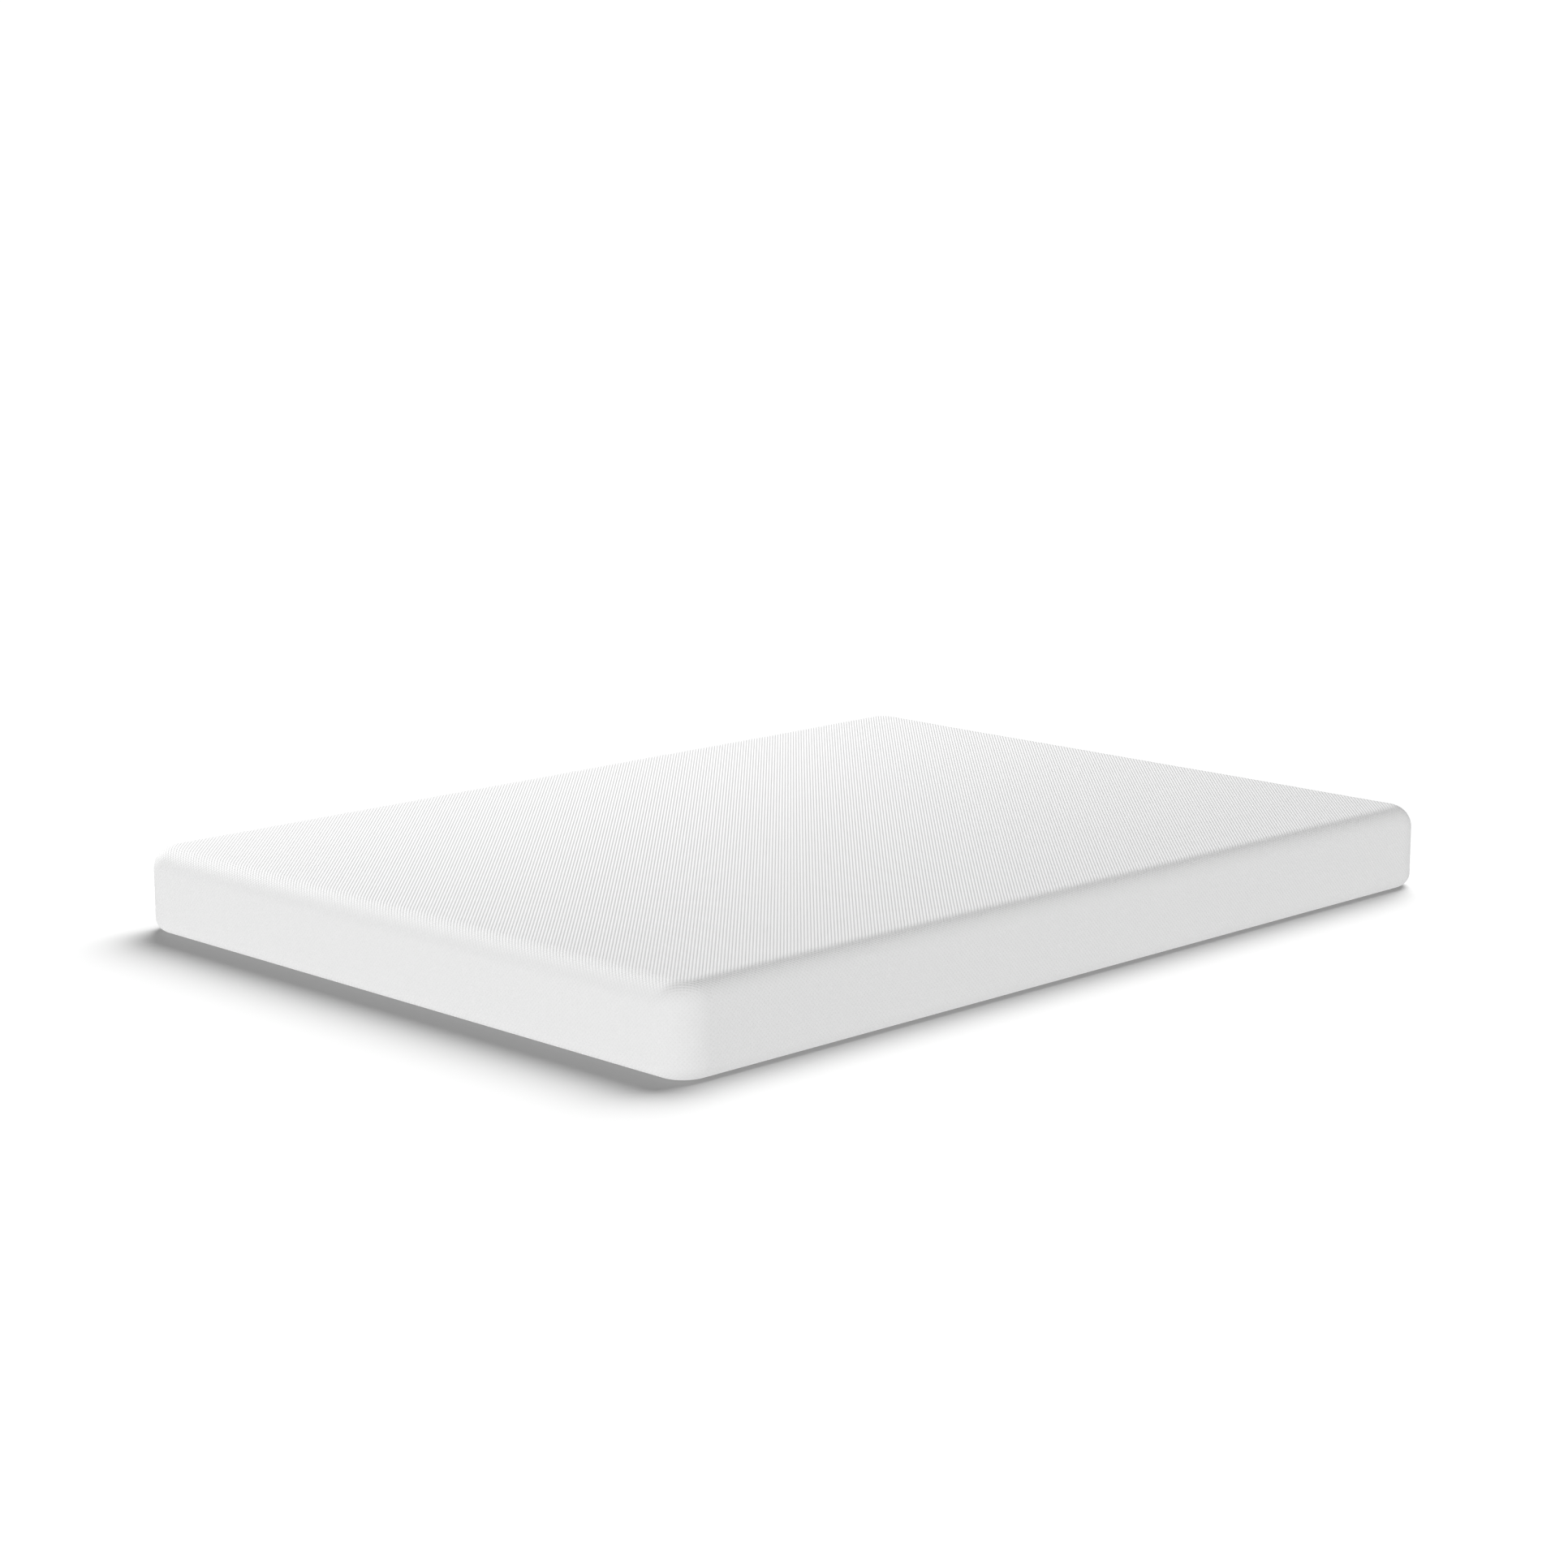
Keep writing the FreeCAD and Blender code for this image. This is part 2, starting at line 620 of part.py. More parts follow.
def make_zip_pull():
    """A flat tab with an eye round the crown. The eye's bar turns between crown and plate."""
    pull = new_body("zip_pull")
    half_eye = f"{EYE_WIDTH} / 2"
    half_tab = "Sizes.pull_width / 2"
    half_opening = f"{EYE_OPENING} / 2"
    outline = new_sketch(pull, "tab_outline")
    corners = [
        ("0", f"-{half_eye}"),
        ("Sizes.pull_length", f"-{half_tab}"),
        ("Sizes.pull_length", half_tab),
        ("0", half_eye),
        ("0", half_opening),
        (EYE_END, half_opening),
        (EYE_END, f"-{half_opening}"),
        ("0", f"-{half_opening}"),
    ]
    draw_polygon(outline, corners)
    pad(pull, outline, "tab", "Sizes.pull_thickness", both_ways=True)

    tab_end = number("Sizes.pull_length")
    tab_half = number(half_tab)
    end_corners = upright_at((tab_end, -tab_half), (tab_end, tab_half))
    round_edges(pull, "tab_end_round", end_corners, "Sizes.pull_end_round")

    hole_outline = new_sketch(pull, "hole_outline", offset="-Sizes.pull_thickness / 2")
    hole_middle = "Sizes.pull_length - Sizes.pull_hole_inset"
    hole_circle = Part.Circle(
        FreeCAD.Vector(number(hole_middle), 0, 0),
        FreeCAD.Vector(0, 0, 1),
        number("Sizes.pull_hole_diameter") / 2,
    )
    hole_outline.addGeometry(hole_circle)
    bind(hole_outline, "hole_radius", "Sizes.pull_hole_diameter / 2", "Radius", 0)
    bind(hole_outline, "hole_place", hole_middle, "DistanceX", 0, 3)
    hole_outline.addConstraint(Sketcher.Constraint("PointOnObject", 0, 3, -1))
    before = pull.Shape.Volume
    hole = pull.newObject("PartDesign::Pocket", "hanging_hole")
    hole.Profile = hole_outline
    hole.Reversed = True
    hole.setExpression("Length", "Sizes.pull_thickness")
    doc.recompute()
    assert pull.Shape.Volume < before, "the pull's hole cut nothing"

    half_thickness = number("Sizes.pull_thickness / 2")
    top = lies_at(half_thickness)
    bottom = lies_at(-half_thickness)
    eye_end = number(EYE_END)
    round_edges(
        pull,
        "tab_edge_round",
        lambda edge: (top(edge) or bottom(edge)) and edge.BoundBox.XMax > 2 * eye_end,
        "Sizes.pull_edge_round",
    )

    bar_outline = new_sketch(pull, "bar_outline", role="XZ_Plane")
    bar_radius = "Sizes.pull_bar_diameter / 2"
    bar_circle = Part.Circle(FreeCAD.Vector(), FreeCAD.Vector(0, 0, 1), number(bar_radius))
    bar_outline.addGeometry(bar_circle)
    bar_outline.addConstraint(Sketcher.Constraint("Coincident", 0, 3, -1, 1))
    bind(bar_outline, "bar_radius", bar_radius, "Radius", 0)
    pad(pull, bar_outline, "eye_bar", EYE_WIDTH, both_ways=True)
    place(
        pull,
        x=SLIDER_REST,
        y=f"{ZIP_PLANE} + {PULL_AXIS}",
        z="Sizes.zip_height",
        rotation=FLAT_ON_WALL,
    )
    return pull


def make_labels():
    """Two blank labels: a folded loop under the zip, and a patch flush with the underside."""
    care = box(
        "care_label",
        "Sizes.care_label_width",
        "2 * Sizes.label_thickness",
        "Sizes.care_label_drop",
        f"Sizes.care_label_from_zip_end - {WINDOW_LENGTH} / 2",
        COVER_HALF_LENGTH,
        f"Sizes.zip_height - {WINDOW_HEIGHT} / 2 - Sizes.care_label_gap - Sizes.care_label_drop",
    )
    law = box(
        "law_label",
        "Sizes.law_label_width",
        "Sizes.law_label_length",
        "Sizes.label_thickness",
        LAW_LABEL_X,
        LAW_LABEL_Y,
        "0",
    )
    return [care, law]


pieces = [make_knit_cover(), make_base_panel(), make_underside_seam(), make_fire_sock()]
pieces += make_foam_layers()
pieces += make_zip_tapes()
pieces += make_zip_coils()
pieces += make_zip_stops()
pieces += [make_zip_slider(), make_zip_pull()]
pieces += make_labels()
doc.recompute()

for item in doc.Objects:
    if "Invalid" in item.State or "Error" in item.State:
        raise RuntimeError(f"{item.Label} failed: {item.State}")
for piece in pieces:
    shape = piece.Shape
    if shape.isNull() or not shape.isValid():
        raise RuntimeError(f"{piece.Label} has no valid shape")
    shape.exportStep(f"parts/{piece.Label}.step")
    print(f"{piece.Label}: {len(shape.Solids)} solid(s), {shape.Volume / 1000:.2f} cm3, {shape.BoundBox}")
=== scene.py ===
import math

import bpy
import numpy as np
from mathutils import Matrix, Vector


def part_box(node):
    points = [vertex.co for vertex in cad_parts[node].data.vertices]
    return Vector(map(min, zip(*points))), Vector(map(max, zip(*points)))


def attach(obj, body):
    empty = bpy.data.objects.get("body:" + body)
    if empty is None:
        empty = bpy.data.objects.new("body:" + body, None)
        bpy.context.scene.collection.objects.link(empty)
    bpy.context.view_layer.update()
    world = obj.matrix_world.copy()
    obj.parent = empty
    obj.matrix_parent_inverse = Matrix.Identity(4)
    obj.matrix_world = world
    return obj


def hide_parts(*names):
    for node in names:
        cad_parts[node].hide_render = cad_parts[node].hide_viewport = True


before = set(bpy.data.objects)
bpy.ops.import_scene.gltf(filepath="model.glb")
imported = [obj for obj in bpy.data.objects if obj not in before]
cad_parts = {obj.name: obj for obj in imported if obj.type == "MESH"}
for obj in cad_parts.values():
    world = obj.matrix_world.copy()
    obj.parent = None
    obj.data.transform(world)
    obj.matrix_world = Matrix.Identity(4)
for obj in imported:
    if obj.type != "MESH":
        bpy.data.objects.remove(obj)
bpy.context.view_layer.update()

# ------------
# Support core. A slab of firm, open-celled polyurethane foam, the thickest layer and the lowest.
# It is sawn from a long block, so its edges are only just eased, and the next layer is bonded on.

MM = 0.001
TURN = 2 * math.pi


def ring_of(columns, rows, steps):
    """The path round a slab, counter-clockwise from above: along each side at the columns or
    rows, and round each corner in equal steps. Returns each point's base on the inner rectangle,
    its outward direction, the outward and forward directions of the side it is on or has just
    passed, and how far round a corner it is, from 0 to 1."""
    turn = np.arange(steps) / steps
    sides = [(columns[:-1], columns[:-1] * 0 + rows[0]), (rows[:-1] * 0 + columns[-1], rows[:-1]),
             (columns[:0:-1], columns[:0:-1] * 0 + rows[-1]), (rows[:0:-1] * 0 + columns[0], rows[:0:-1])]
    corners = [(columns[-1], rows[0]), (columns[-1], rows[-1]), (columns[0], rows[-1]), (columns[0], rows[0])]
    base, out, side_out, side_along, share = [], [], [], [], []
    for quarter, ((x, y), corner) in enumerate(zip(sides, corners)):
        start = (quarter - 1) * math.pi / 2
        corner_share = np.concatenate([np.zeros(len(x)), turn])
        angle = start + corner_share * math.pi / 2
        base.append(np.concatenate([np.stack([x, y], 1), np.repeat([corner], steps, 0)]))
        out.append(np.stack([np.cos(angle), np.sin(angle)], 1))
        side_out.append(np.repeat([[math.cos(start), math.sin(start)]], len(angle), 0))
        side_along.append(np.repeat([[-math.sin(start), math.cos(start)]], len(angle), 0))
        share.append(corner_share)
    return [np.concatenate(part) for part in (base, out, side_out, side_along, share)]


def slab_skin(columns, rows, steps, profile, bottom=False):
    """The skin of a slab. Row by row, profile gives (inset, radius, height): a rounded rectangle
    whose corner centres stand inset inside the last columns and rows, with that corner radius.
    A grid over the columns and rows closes the top, and the bottom where asked. Returns the
    points, the faces and, for every ring, the numbers of its points."""
    base, out = ring_of(columns, rows, steps)[:2]
    nx, ny = len(columns), len(rows)
    x, y = np.meshgrid(columns, rows)
    number = np.arange(nx * ny).reshape(ny, nx)
    sides = (number[0, :-1], number[:-1, -1], number[-1, :0:-1], number[:0:-1, 0])
    corners = (number[0, -1], number[-1, -1], number[-1, 0], number[0, 0])
    edge = np.concatenate([np.append(side, [corner] * steps) for side, corner in zip(sides, corners)])
    points = [np.stack([x.ravel(), y.ravel(), np.full(nx * ny, profile[0][2])], 1)]
    rings, count = [edge], nx * ny
    half = np.array([columns[-1], rows[-1]])
    for inset, radius, height in profile[1:]:
        place = base * (half - inset) / half + radius * out
        points.append(np.column_stack([place, np.full(len(place), height)]))
        rings.append(np.arange(len(place)) + count)
        count += len(place)
    grid = np.stack([number[:-1, :-1], number[:-1, 1:], number[1:, 1:], number[1:, :-1]], -1).reshape(-1, 4)
    faces = [grid]
    if bottom:
        under = points[0].copy()
        under[:, 2] = profile[-1][2]
        points.append(under)
        rings.append(edge + count)
        faces.append(grid[:, ::-1] + count)
    for inner, outer in zip(rings[:-1], rings[1:]):
        faces.append(np.stack([inner, outer, np.roll(outer, -1), np.roll(inner, -1)], -1))
    return np.concatenate(points), np.concatenate(faces), rings


def rounded_profile(corner, low, high, top_round, bottom_round, turns):
    """(inset, radius, height) rows of a slab's profile: out over the flat top, a quarter circle
    of top_round, the wall, and a quarter circle of bottom_round to the underside."""
    quarter = np.linspace(0, math.pi / 2, turns + 1)
    top = [(0, corner - top_round + top_round * math.sin(a), high - top_round + top_round * math.cos(a))
           for a in quarter]
    foot = [(0, corner - bottom_round + bottom_round * math.cos(a),
             low + bottom_round - bottom_round * math.sin(a)) for a in quarter]
    return [(0, 0, high)] + top + foot


def closed_slab(low, high, corner, counts, profile):
    """A slab's points and faces, closed all round. The columns and rows run between the centres
    of the corners of the rectangle from low to high."""
    middle = (low[1] + high[1]) / 2
    columns = np.linspace(low[0] + corner, high[0] - corner, counts[0])
    rows = np.linspace(low[1] + corner, high[1] - corner, counts[1]) - middle
    points, faces = slab_skin(columns, rows, 8, profile, bottom=True)[:2]
    points[:, 1] += middle
    return points, faces


def new_piece(name, points, faces, finish, smooth=True, uv=None):
    """A mesh object at the origin from an array of points and an array of four-cornered faces.
    Corners that repeat a point, where a grid closes on a pole, are dropped."""
    keep = faces != np.roll(faces, 1, axis=1)
    corners = keep.sum(1)
    mesh = bpy.data.meshes.new(name)
    mesh.vertices.add(len(points))
    mesh.vertices.foreach_set("co", points.astype(np.float32).ravel())
    mesh.loops.add(corners.sum())
    mesh.loops.foreach_set("vertex_index", faces[keep].astype(np.int32))
    mesh.polygons.add(len(faces))
    mesh.polygons.foreach_set("loop_start", (np.cumsum(corners) - corners).astype(np.int32))
    mesh.polygons.foreach_set("use_smooth", np.full(len(faces), smooth))
    mesh.update(calc_edges=True)
    if uv is not None:
        layer = mesh.uv_layers.new(name="OFBake")
        layer.data.foreach_set("uv", uv[keep].astype(np.float32).ravel())
    mesh.materials.append(finish)
    piece = bpy.data.objects.new(name, mesh)
    bpy.context.scene.collection.objects.link(piece)
    return piece


class Strand:
    """A shader socket that takes part in arithmetic: each operator adds the Math node for it."""

    def __init__(self, finish, socket):
        self.finish, self.socket = finish, socket

    def maths(self, operation, *others):
        return self.finish.node("Math", {"operation": operation}, (self,) + others)

    def __add__(self, other):
        return self.maths("ADD", other)

    def __sub__(self, other):
        return self.maths("SUBTRACT", other)

    def __rsub__(self, other):
        return self.finish.node("Math", {"operation": "SUBTRACT"}, (other, self))

    def __mul__(self, other):
        return self.maths("MULTIPLY", other)

    def __truediv__(self, other):
        return self.maths("DIVIDE", other)

    __radd__, __rmul__ = __add__, __mul__


class Finish:
    """A procedural material, made of nodes, or the nodes of a tree that is there already."""

    def __init__(self, name=None, tree=None):
        if tree is None:
            self.material = bpy.data.materials.new(name)
            self.material.use_nodes = True
            tree = self.material.node_tree
        self.tree = tree
        tree.nodes.clear()

    def node(self, kind, settings=None, inputs=(), output=0):
        """Adds a shader node, gives it its settings first, then the value or link of each input,
        named or in order, and returns one output."""
        made = self.tree.nodes.new("ShaderNode" + kind)
        for setting, value in (settings or {}).items():
            setattr(made, setting, value)
        for key, value in inputs.items() if isinstance(inputs, dict) else enumerate(inputs):
            if isinstance(value, Strand):
                self.tree.links.new(value.socket, made.inputs[key])
            else:
                made.inputs[key].default_value = value
        return Strand(self, made.outputs[output]) if made.outputs else None

    def place(self):
        """Object coordinates, in metres."""
        return self.node("TexCoord", output="Object")

    def parts(self, vector):
        split = self.node("SeparateXYZ", inputs=[vector])
        return [Strand(self, s) for s in split.socket.node.outputs]

    def step(self, value, low, high):
        """0 below low, 1 above high and an eased rise between."""
        return self.node("MapRange", {"interpolation_type": "SMOOTHSTEP"}, [value, low, high, 0.0, 1.0])

    def noise(self, vector, scale, detail):
        return self.node("TexNoise", inputs={"Vector": vector, "Scale": scale, "Detail": detail})

    def shade(self, value, dark, light):
        """A colour between dark and light."""
        return self.node("Mix", {"data_type": "RGBA"}, {0: value, 6: (*dark, 1), 7: (*light, 1)}, 2)

    def surface(self, height=None, under=None, **sockets):
        """The finished surface. height is in metres and becomes a bump, over the normal under it."""
        inputs = {name.replace("_", " "): value for name, value in sockets.items()}
        if height is not None:
            bump = {"Strength": 1.0, "Distance": 1.0, "Height": height}
            if under is not None:
                bump["Normal"] = under
            inputs["Normal"] = self.node("Bump", inputs=bump)
        shader = self.node("BsdfPrincipled", inputs=inputs)
        self.node("OutputMaterial", inputs=[shader])
        return self.material


SAW_MARKS, TONE_DRIFT = 11 * MM, 250 * MM  # from one mark to the next, and from dark to light
FOAM_CORNER = 54.2 * MM


def foam_finish(name, dark, light, cell):
    """Open-celled foam: cell-sized pits, a saw's faint drag marks and a slow drift of tone."""
    f = Finish(name)
    place = f.place()
    cells = f.node("TexVoronoi", {"feature": "F1"}, {"Vector": place, "Scale": 1 / cell})
    grain = f.noise(place, 0.6 / cell, 3.0)
    drift = f.noise(place, 1 / TONE_DRIFT, 2.0)
    y = f.parts(place)[1]
    drag = (y * (TURN / SAW_MARKS) + drift * 5).maths("SINE")
    # Painted shade: the pits of the cells and the hollows of the grain are coloured darker; the drift is the
    # foam's own slow change of tone.
    tone = f.step(cells * 0.7 + grain * 0.4 + drift * 0.35, 0.35, 1.05)
    height = cells * (cell * 0.35) + grain * (cell * 0.3) + drag * (0.02 * MM)
    return f.surface(height, Base_Color=f.shade(tone, dark, light),
                     Roughness=f.step(grain, 0, 1) * 0.1 + 0.85, Specular_IOR_Level=0.15)


def foam_slab(name, node, top_round, bottom_round, dark, light, cell, waves):
    """A foam layer: a rounded slab of its node's size, whose faces lie up to a fraction of a
    millimetre inside it. They sink by size * (1 - sin(TURN x / length + phase) *
    sin(TURN y / length + 2 phase)) / 2 for each wave (length, size, phase)."""
    low, high = np.array(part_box(node))
    profile = rounded_profile(FOAM_CORNER, low[2], high[2], top_round, bottom_round, 5)
    points, faces = closed_slab(low, high, FOAM_CORNER, (49, 65), profile)
    above = points[:, 2] > (low[2] + high[2]) / 2
    for length, size, phase in waves:
        drop = 1 - (np.sin(points[:, 0] * TURN / length + phase)
                    * np.sin(points[:, 1] * TURN / length + 2 * phase))
        points[:, 2] += np.where(above, -1, 1) * size * drop / 2
    piece = new_piece(name, points, faces, foam_finish(name + "_finish", dark, light, cell))
    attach(piece, "mattress")
    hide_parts(node)
    return piece


core_slab = foam_slab(
    "core_slab", "support_core", top_round=1 * MM, bottom_round=21.8 * MM,
    dark=(0.62, 0.58, 0.47), light=(0.80, 0.77, 0.66), cell=1.5 * MM,
    waves=((0.21, 0.20 * MM, 0.4), (0.53, 0.25 * MM, 1.7)))

# ------------
# Transition layer. Softer open-celled foam, bonded to the core with a sprayed adhesive. It lets
# the sleeper down gently between the memory foam and the core.

transition_slab = foam_slab(
    "transition_slab", "transition_foam", top_round=1 * MM, bottom_round=1 * MM,
    dark=(0.50, 0.60, 0.68), light=(0.66, 0.75, 0.81), cell=1.2 * MM,
    waves=((0.26, 0.15 * MM, 2.1), (0.61, 0.20 * MM, 0.9)))

# ------------
# Memory foam. The dense, slow layer that the sleeper lies on, bonded to the one below. Its top
# edge is cut round all the way along, which gives the finished mattress its soft shoulder.

memory_slab = foam_slab(
    "memory_slab", "memory_foam", top_round=36.5 * MM, bottom_round=1 * MM,
    dark=(0.70, 0.69, 0.62), light=(0.86, 0.85, 0.80), cell=0.7 * MM,
    waves=((0.34, 0.15 * MM, 0.3), (0.72, 0.25 * MM, 2.6)))

# ------------
# Fire sock. A tube of rib-knitted cotton and glass yarn, pulled tight over all three layers and
# closed across both ends. It is thin, so the shape of the foam shows through it.

SOCK_THICKNESS = 0.8 * MM
SOCK_EASE = 0.15 * MM  # how far the outer skin lies inside its box, to leave its waves room
SOCK_CORNER, SOCK_TOP_ROUND, SOCK_BOTTOM_ROUND = 55.3 * MM, 37.3 * MM, 22.3 * MM
RIB, YARN_STEP = 2.6 * MM, 1.9 * MM
sock_low, sock_high = np.array(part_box("fire_sock"))


def rib_finish():
    """Rib knit: ridges follow the tube's length, counted outward and down from its middle line, so
    they run straight over the top and the sides and lean across the ends. Each has a V of yarn."""
    f = Finish("barrier_rib_knit")
    place = f.place()
    x, y, z = f.parts(place)
    wale = (x.maths("ABSOLUTE") - z) / RIB
    rib = (wale * TURN).maths("SINE") * 0.5 + 0.5
    loop = ((y / YARN_STEP + rib * 0.5) * TURN).maths("SINE") * 0.5 + 0.5
    drift = f.noise(place, 5.0, 3.0)
    # Painted shade: the grooves between the ribs and the gaps between the yarn loops are coloured darker; the
    # drift is the yarn's own tone, varying at random.
    tone = rib * 0.45 + loop * 0.2 + drift * 0.4
    colour = f.shade(tone, (0.60, 0.57, 0.50), (0.86, 0.84, 0.78))
    return f.surface(rib * (0.5 * MM) + loop * (0.08 * MM), Base_Color=colour, Roughness=0.9 - rib * 0.08,
                     Specular_IOR_Level=0.2)


def sock_shell():
    """Two skins, one just inside the sock's box and one the cloth's thickness inside it. Both lie
    in shallow waves of 0.1 mm * sin(31 x) * sin(23 y)."""
    skins = []
    for inward in (SOCK_EASE, SOCK_THICKNESS):
        profile = rounded_profile(SOCK_CORNER - inward, sock_low[2] + inward, sock_high[2] - inward,
                                  SOCK_TOP_ROUND - inward, SOCK_BOTTOM_ROUND - inward, 6)
        points, faces = closed_slab(sock_low, sock_high, SOCK_CORNER, (41, 57), profile)
        points[:, 2] += np.sin(points[:, 0] * 31) * np.sin(points[:, 1] * 23) * 0.1 * MM
        skins.append(points)
    return np.concatenate(skins), np.concatenate([faces, faces[:, ::-1] + len(points)])


barrier_sock = new_piece("barrier_sock", *sock_shell(), rib_finish())
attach(barrier_sock, "mattress")
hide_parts("fire_sock")

# ------------
# Base panel. A heavier cloth across the underside, with rows of soft rubber dots that keep the
# mattress from sliding. It is cut with rounded corners and lies flat inside the knit's hem.

PANEL_CORNER, DOT_PITCH, DOT_RADIUS, PANEL_YARN = 27 * MM, 7.5 * MM, 1.5 * MM, 0.8 * MM
BED_STEP, PANEL_FADE = 0.6 * MM, 50 * MM  # widths of the bed's sloping edge and of the waves' rise
SAME = 0.001 * MM  # lengths that differ by less are the same
panel_low, panel_high = np.array(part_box("base_panel"))
law_low, law_high = np.array(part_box("law_label"))


def thin_profile(corner, low, high):
    """(inset, radius, height) rows of a thin sheet whose edge is half a circle."""
    half = (high - low) / 2
    edge = [(0, corner - half + half * math.sin(a), low + half + half * math.cos(a))
            for a in np.linspace(0, math.pi, 5)]
    return [(0, 0, high)] + edge


def grip_finish():
    """Close plain weave with a rubber dot in every square of the pitch, and one in its middle."""
    f = Finish("grip_dot_cloth")
    place = f.place()
    x, y, _ = f.parts(place)
    near = None
    for shift in (0.0, 0.5):
        across, along = [w / DOT_PITCH + shift - (w / DOT_PITCH + shift + 0.5).maths("FLOOR")
                         for w in (x, y)]
        gap = (across * across + along * along).maths("SQRT") * DOT_PITCH
        near = gap if near is None else near.maths("MINIMUM", gap)
    dot = 1 - f.step(near, DOT_RADIUS * 0.7, DOT_RADIUS)
    weave = (x * (TURN / PANEL_YARN)).maths("SINE") * (y * (TURN / PANEL_YARN)).maths("SINE")
    drift = f.noise(place, 7.0, 3.0)
    # Painted shade: where the weave dips, the cloth is coloured a little darker; the drift is the cloth's own
    # tone, varying at random. The dots' lighter colour is the rubber's own.
    cloth = f.shade(drift * 0.7 + weave * 0.15, (0.60, 0.60, 0.61), (0.78, 0.78, 0.79))
    colour = f.node("Mix", {"data_type": "RGBA"}, {0: dot, 6: cloth, 7: (0.88, 0.88, 0.87, 1)}, 2)
    return f.surface(dot * (0.5 * MM) + weave * (0.05 * MM), Base_Color=colour, Roughness=0.9 - dot * 0.4,
                     Specular_IOR_Level=0.3)


def base_cloth():
    """A thin slab. Its underside steps up over the law label's bed, and elsewhere lies in waves
    of 0.15 mm * (1 + sin(37 x + 1) * sin(29 y)) / 2, that fade out at the edge."""
    half = panel_high[:2] - PANEL_CORNER
    bed_low, bed_high = law_low[:2] - BED_STEP, law_high[:2] + BED_STEP
    columns, rows = [np.unique(np.concatenate([np.linspace(-half[n], half[n], count),
                                               [bed_low[n], law_low[n], law_high[n], bed_high[n]]]))
                     for n, count in ((0, 55), (1, 75))]
    profile = thin_profile(PANEL_CORNER, panel_low[2], panel_high[2])
    points, faces = slab_skin(columns, rows, 10, profile, bottom=True)[:2]
    flat = points[:, :2]
    under = points[:, 2] < (panel_low[2] + panel_high[2]) / 2
    fade = np.clip((half - np.abs(flat)) / PANEL_FADE, 0, 1).prod(1)
    wave = 1 + np.sin(37 * flat[:, 0] + 1) * np.sin(29 * flat[:, 1])
    points[:, 2] += np.where(under, fade * wave * 0.075 * MM, 0)
    in_bed = under & ((flat > bed_low + SAME) & (flat < bed_high - SAME)).all(1)
    points[in_bed, 2] = law_high[2] + 0.05 * MM
    return points, faces


grip_panel = new_piece("grip_panel", *base_cloth(), grip_finish())
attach(grip_panel, "mattress")
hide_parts("base_panel")

# ------------
# Law label. A plain patch of bonded fibre cloth, laid on the base panel near the head and sewn
# down with short stitches all round. It carries no print.

STITCH_PITCH, STITCH_LENGTH, THREAD_RADIUS = 3.0 * MM, 2.3 * MM, 0.28 * MM
LABEL_CORNER, LABEL_REST, LABEL_STITCH_INSET = 1 * MM, 0.16 * MM, 3 * MM


def thin_slab(half, counts, corner, low, high):
    """A thin slab's points and faces. It reaches half of its size to each side of the origin."""
    columns, rows = [np.linspace(-1, 1, count) * (reach - corner) for reach, count in zip(half, counts)]
    return slab_skin(columns, rows, 3, thin_profile(corner, low, high), bottom=True)[:2]


def stitch_rows(middles, alongs, outward):
    """Short stitches, each a thread that rises from the cloth and goes down again. With t from -1
    to 1 its axis is t * length / 2 along and (1 - t^2) * radius out, and its own radius is
    radius * sqrt(1 - t^4 * 0.9). Returns the points and faces of all of them."""
    sides, t = 6, np.linspace(-1, 1, 5)
    angle = np.arange(sides) * TURN / sides
    wide = THREAD_RADIUS * np.sqrt(1 - 0.9 * t ** 4)
    out = np.broadcast_to(outward, alongs.shape)
    side = np.cross(alongs, out)
    rings = [(p * STITCH_LENGTH / 2, (1 - p * p) * THREAD_RADIUS + w * math.cos(a), w * math.sin(a))
             for p, w in zip(t, wide) for a in angle]
    shape = np.array([(-STITCH_LENGTH / 2, 0, 0)] + rings + [(STITCH_LENGTH / 2, 0, 0)])
    points = (middles[:, None] + shape[None, :, :1] * alongs[:, None] + shape[None, :, 1:2] * out[:, None]
              + shape[None, :, 2:] * side[:, None])
    ring = np.arange(sides)
    after = np.roll(ring, -1)
    last = len(shape) - 1
    faces = [np.stack([ring * 0, ring * 0, 1 + after, 1 + ring], 1)]
    for m in range(len(t) - 1):
        here, ahead = 1 + m * sides, 1 + (m + 1) * sides
        faces.append(np.stack([here + ring, here + after, ahead + after, ahead + ring], 1))
    start = 1 + (len(t) - 1) * sides
    faces.append(np.stack([start + ring, start + after, ring * 0 + last, ring * 0 + last], 1))
    faces = np.concatenate(faces)
    every = faces[None] + (np.arange(len(middles)) * len(shape))[:, None, None]
    return points.reshape(-1, 3), every.reshape(-1, 4)


def rectangle(low, high):
    """Four corners in turn, from low to high and back, along the two axes in which they differ."""
    first, second = np.flatnonzero(np.not_equal(low, high))
    corners = np.repeat([low], 4, 0).astype(float)
    corners[1:3, first] = high[first]
    corners[2:, second] = high[second]
    return corners


def stitch_loop(corners):
    """The middles and directions of the stitches on the straight lines from corner to corner."""
    middles, alongs = [], []
    for start, end in zip(corners, np.roll(corners, -1, 0)):
        length = np.linalg.norm(end - start)
        count = int(round(length / STITCH_PITCH))
        middles.append(start + (np.arange(count)[:, None] + 0.5) / count * (end - start))
        alongs.append(np.repeat([(end - start) / length], count, 0))
    return np.concatenate(middles), np.concatenate(alongs)


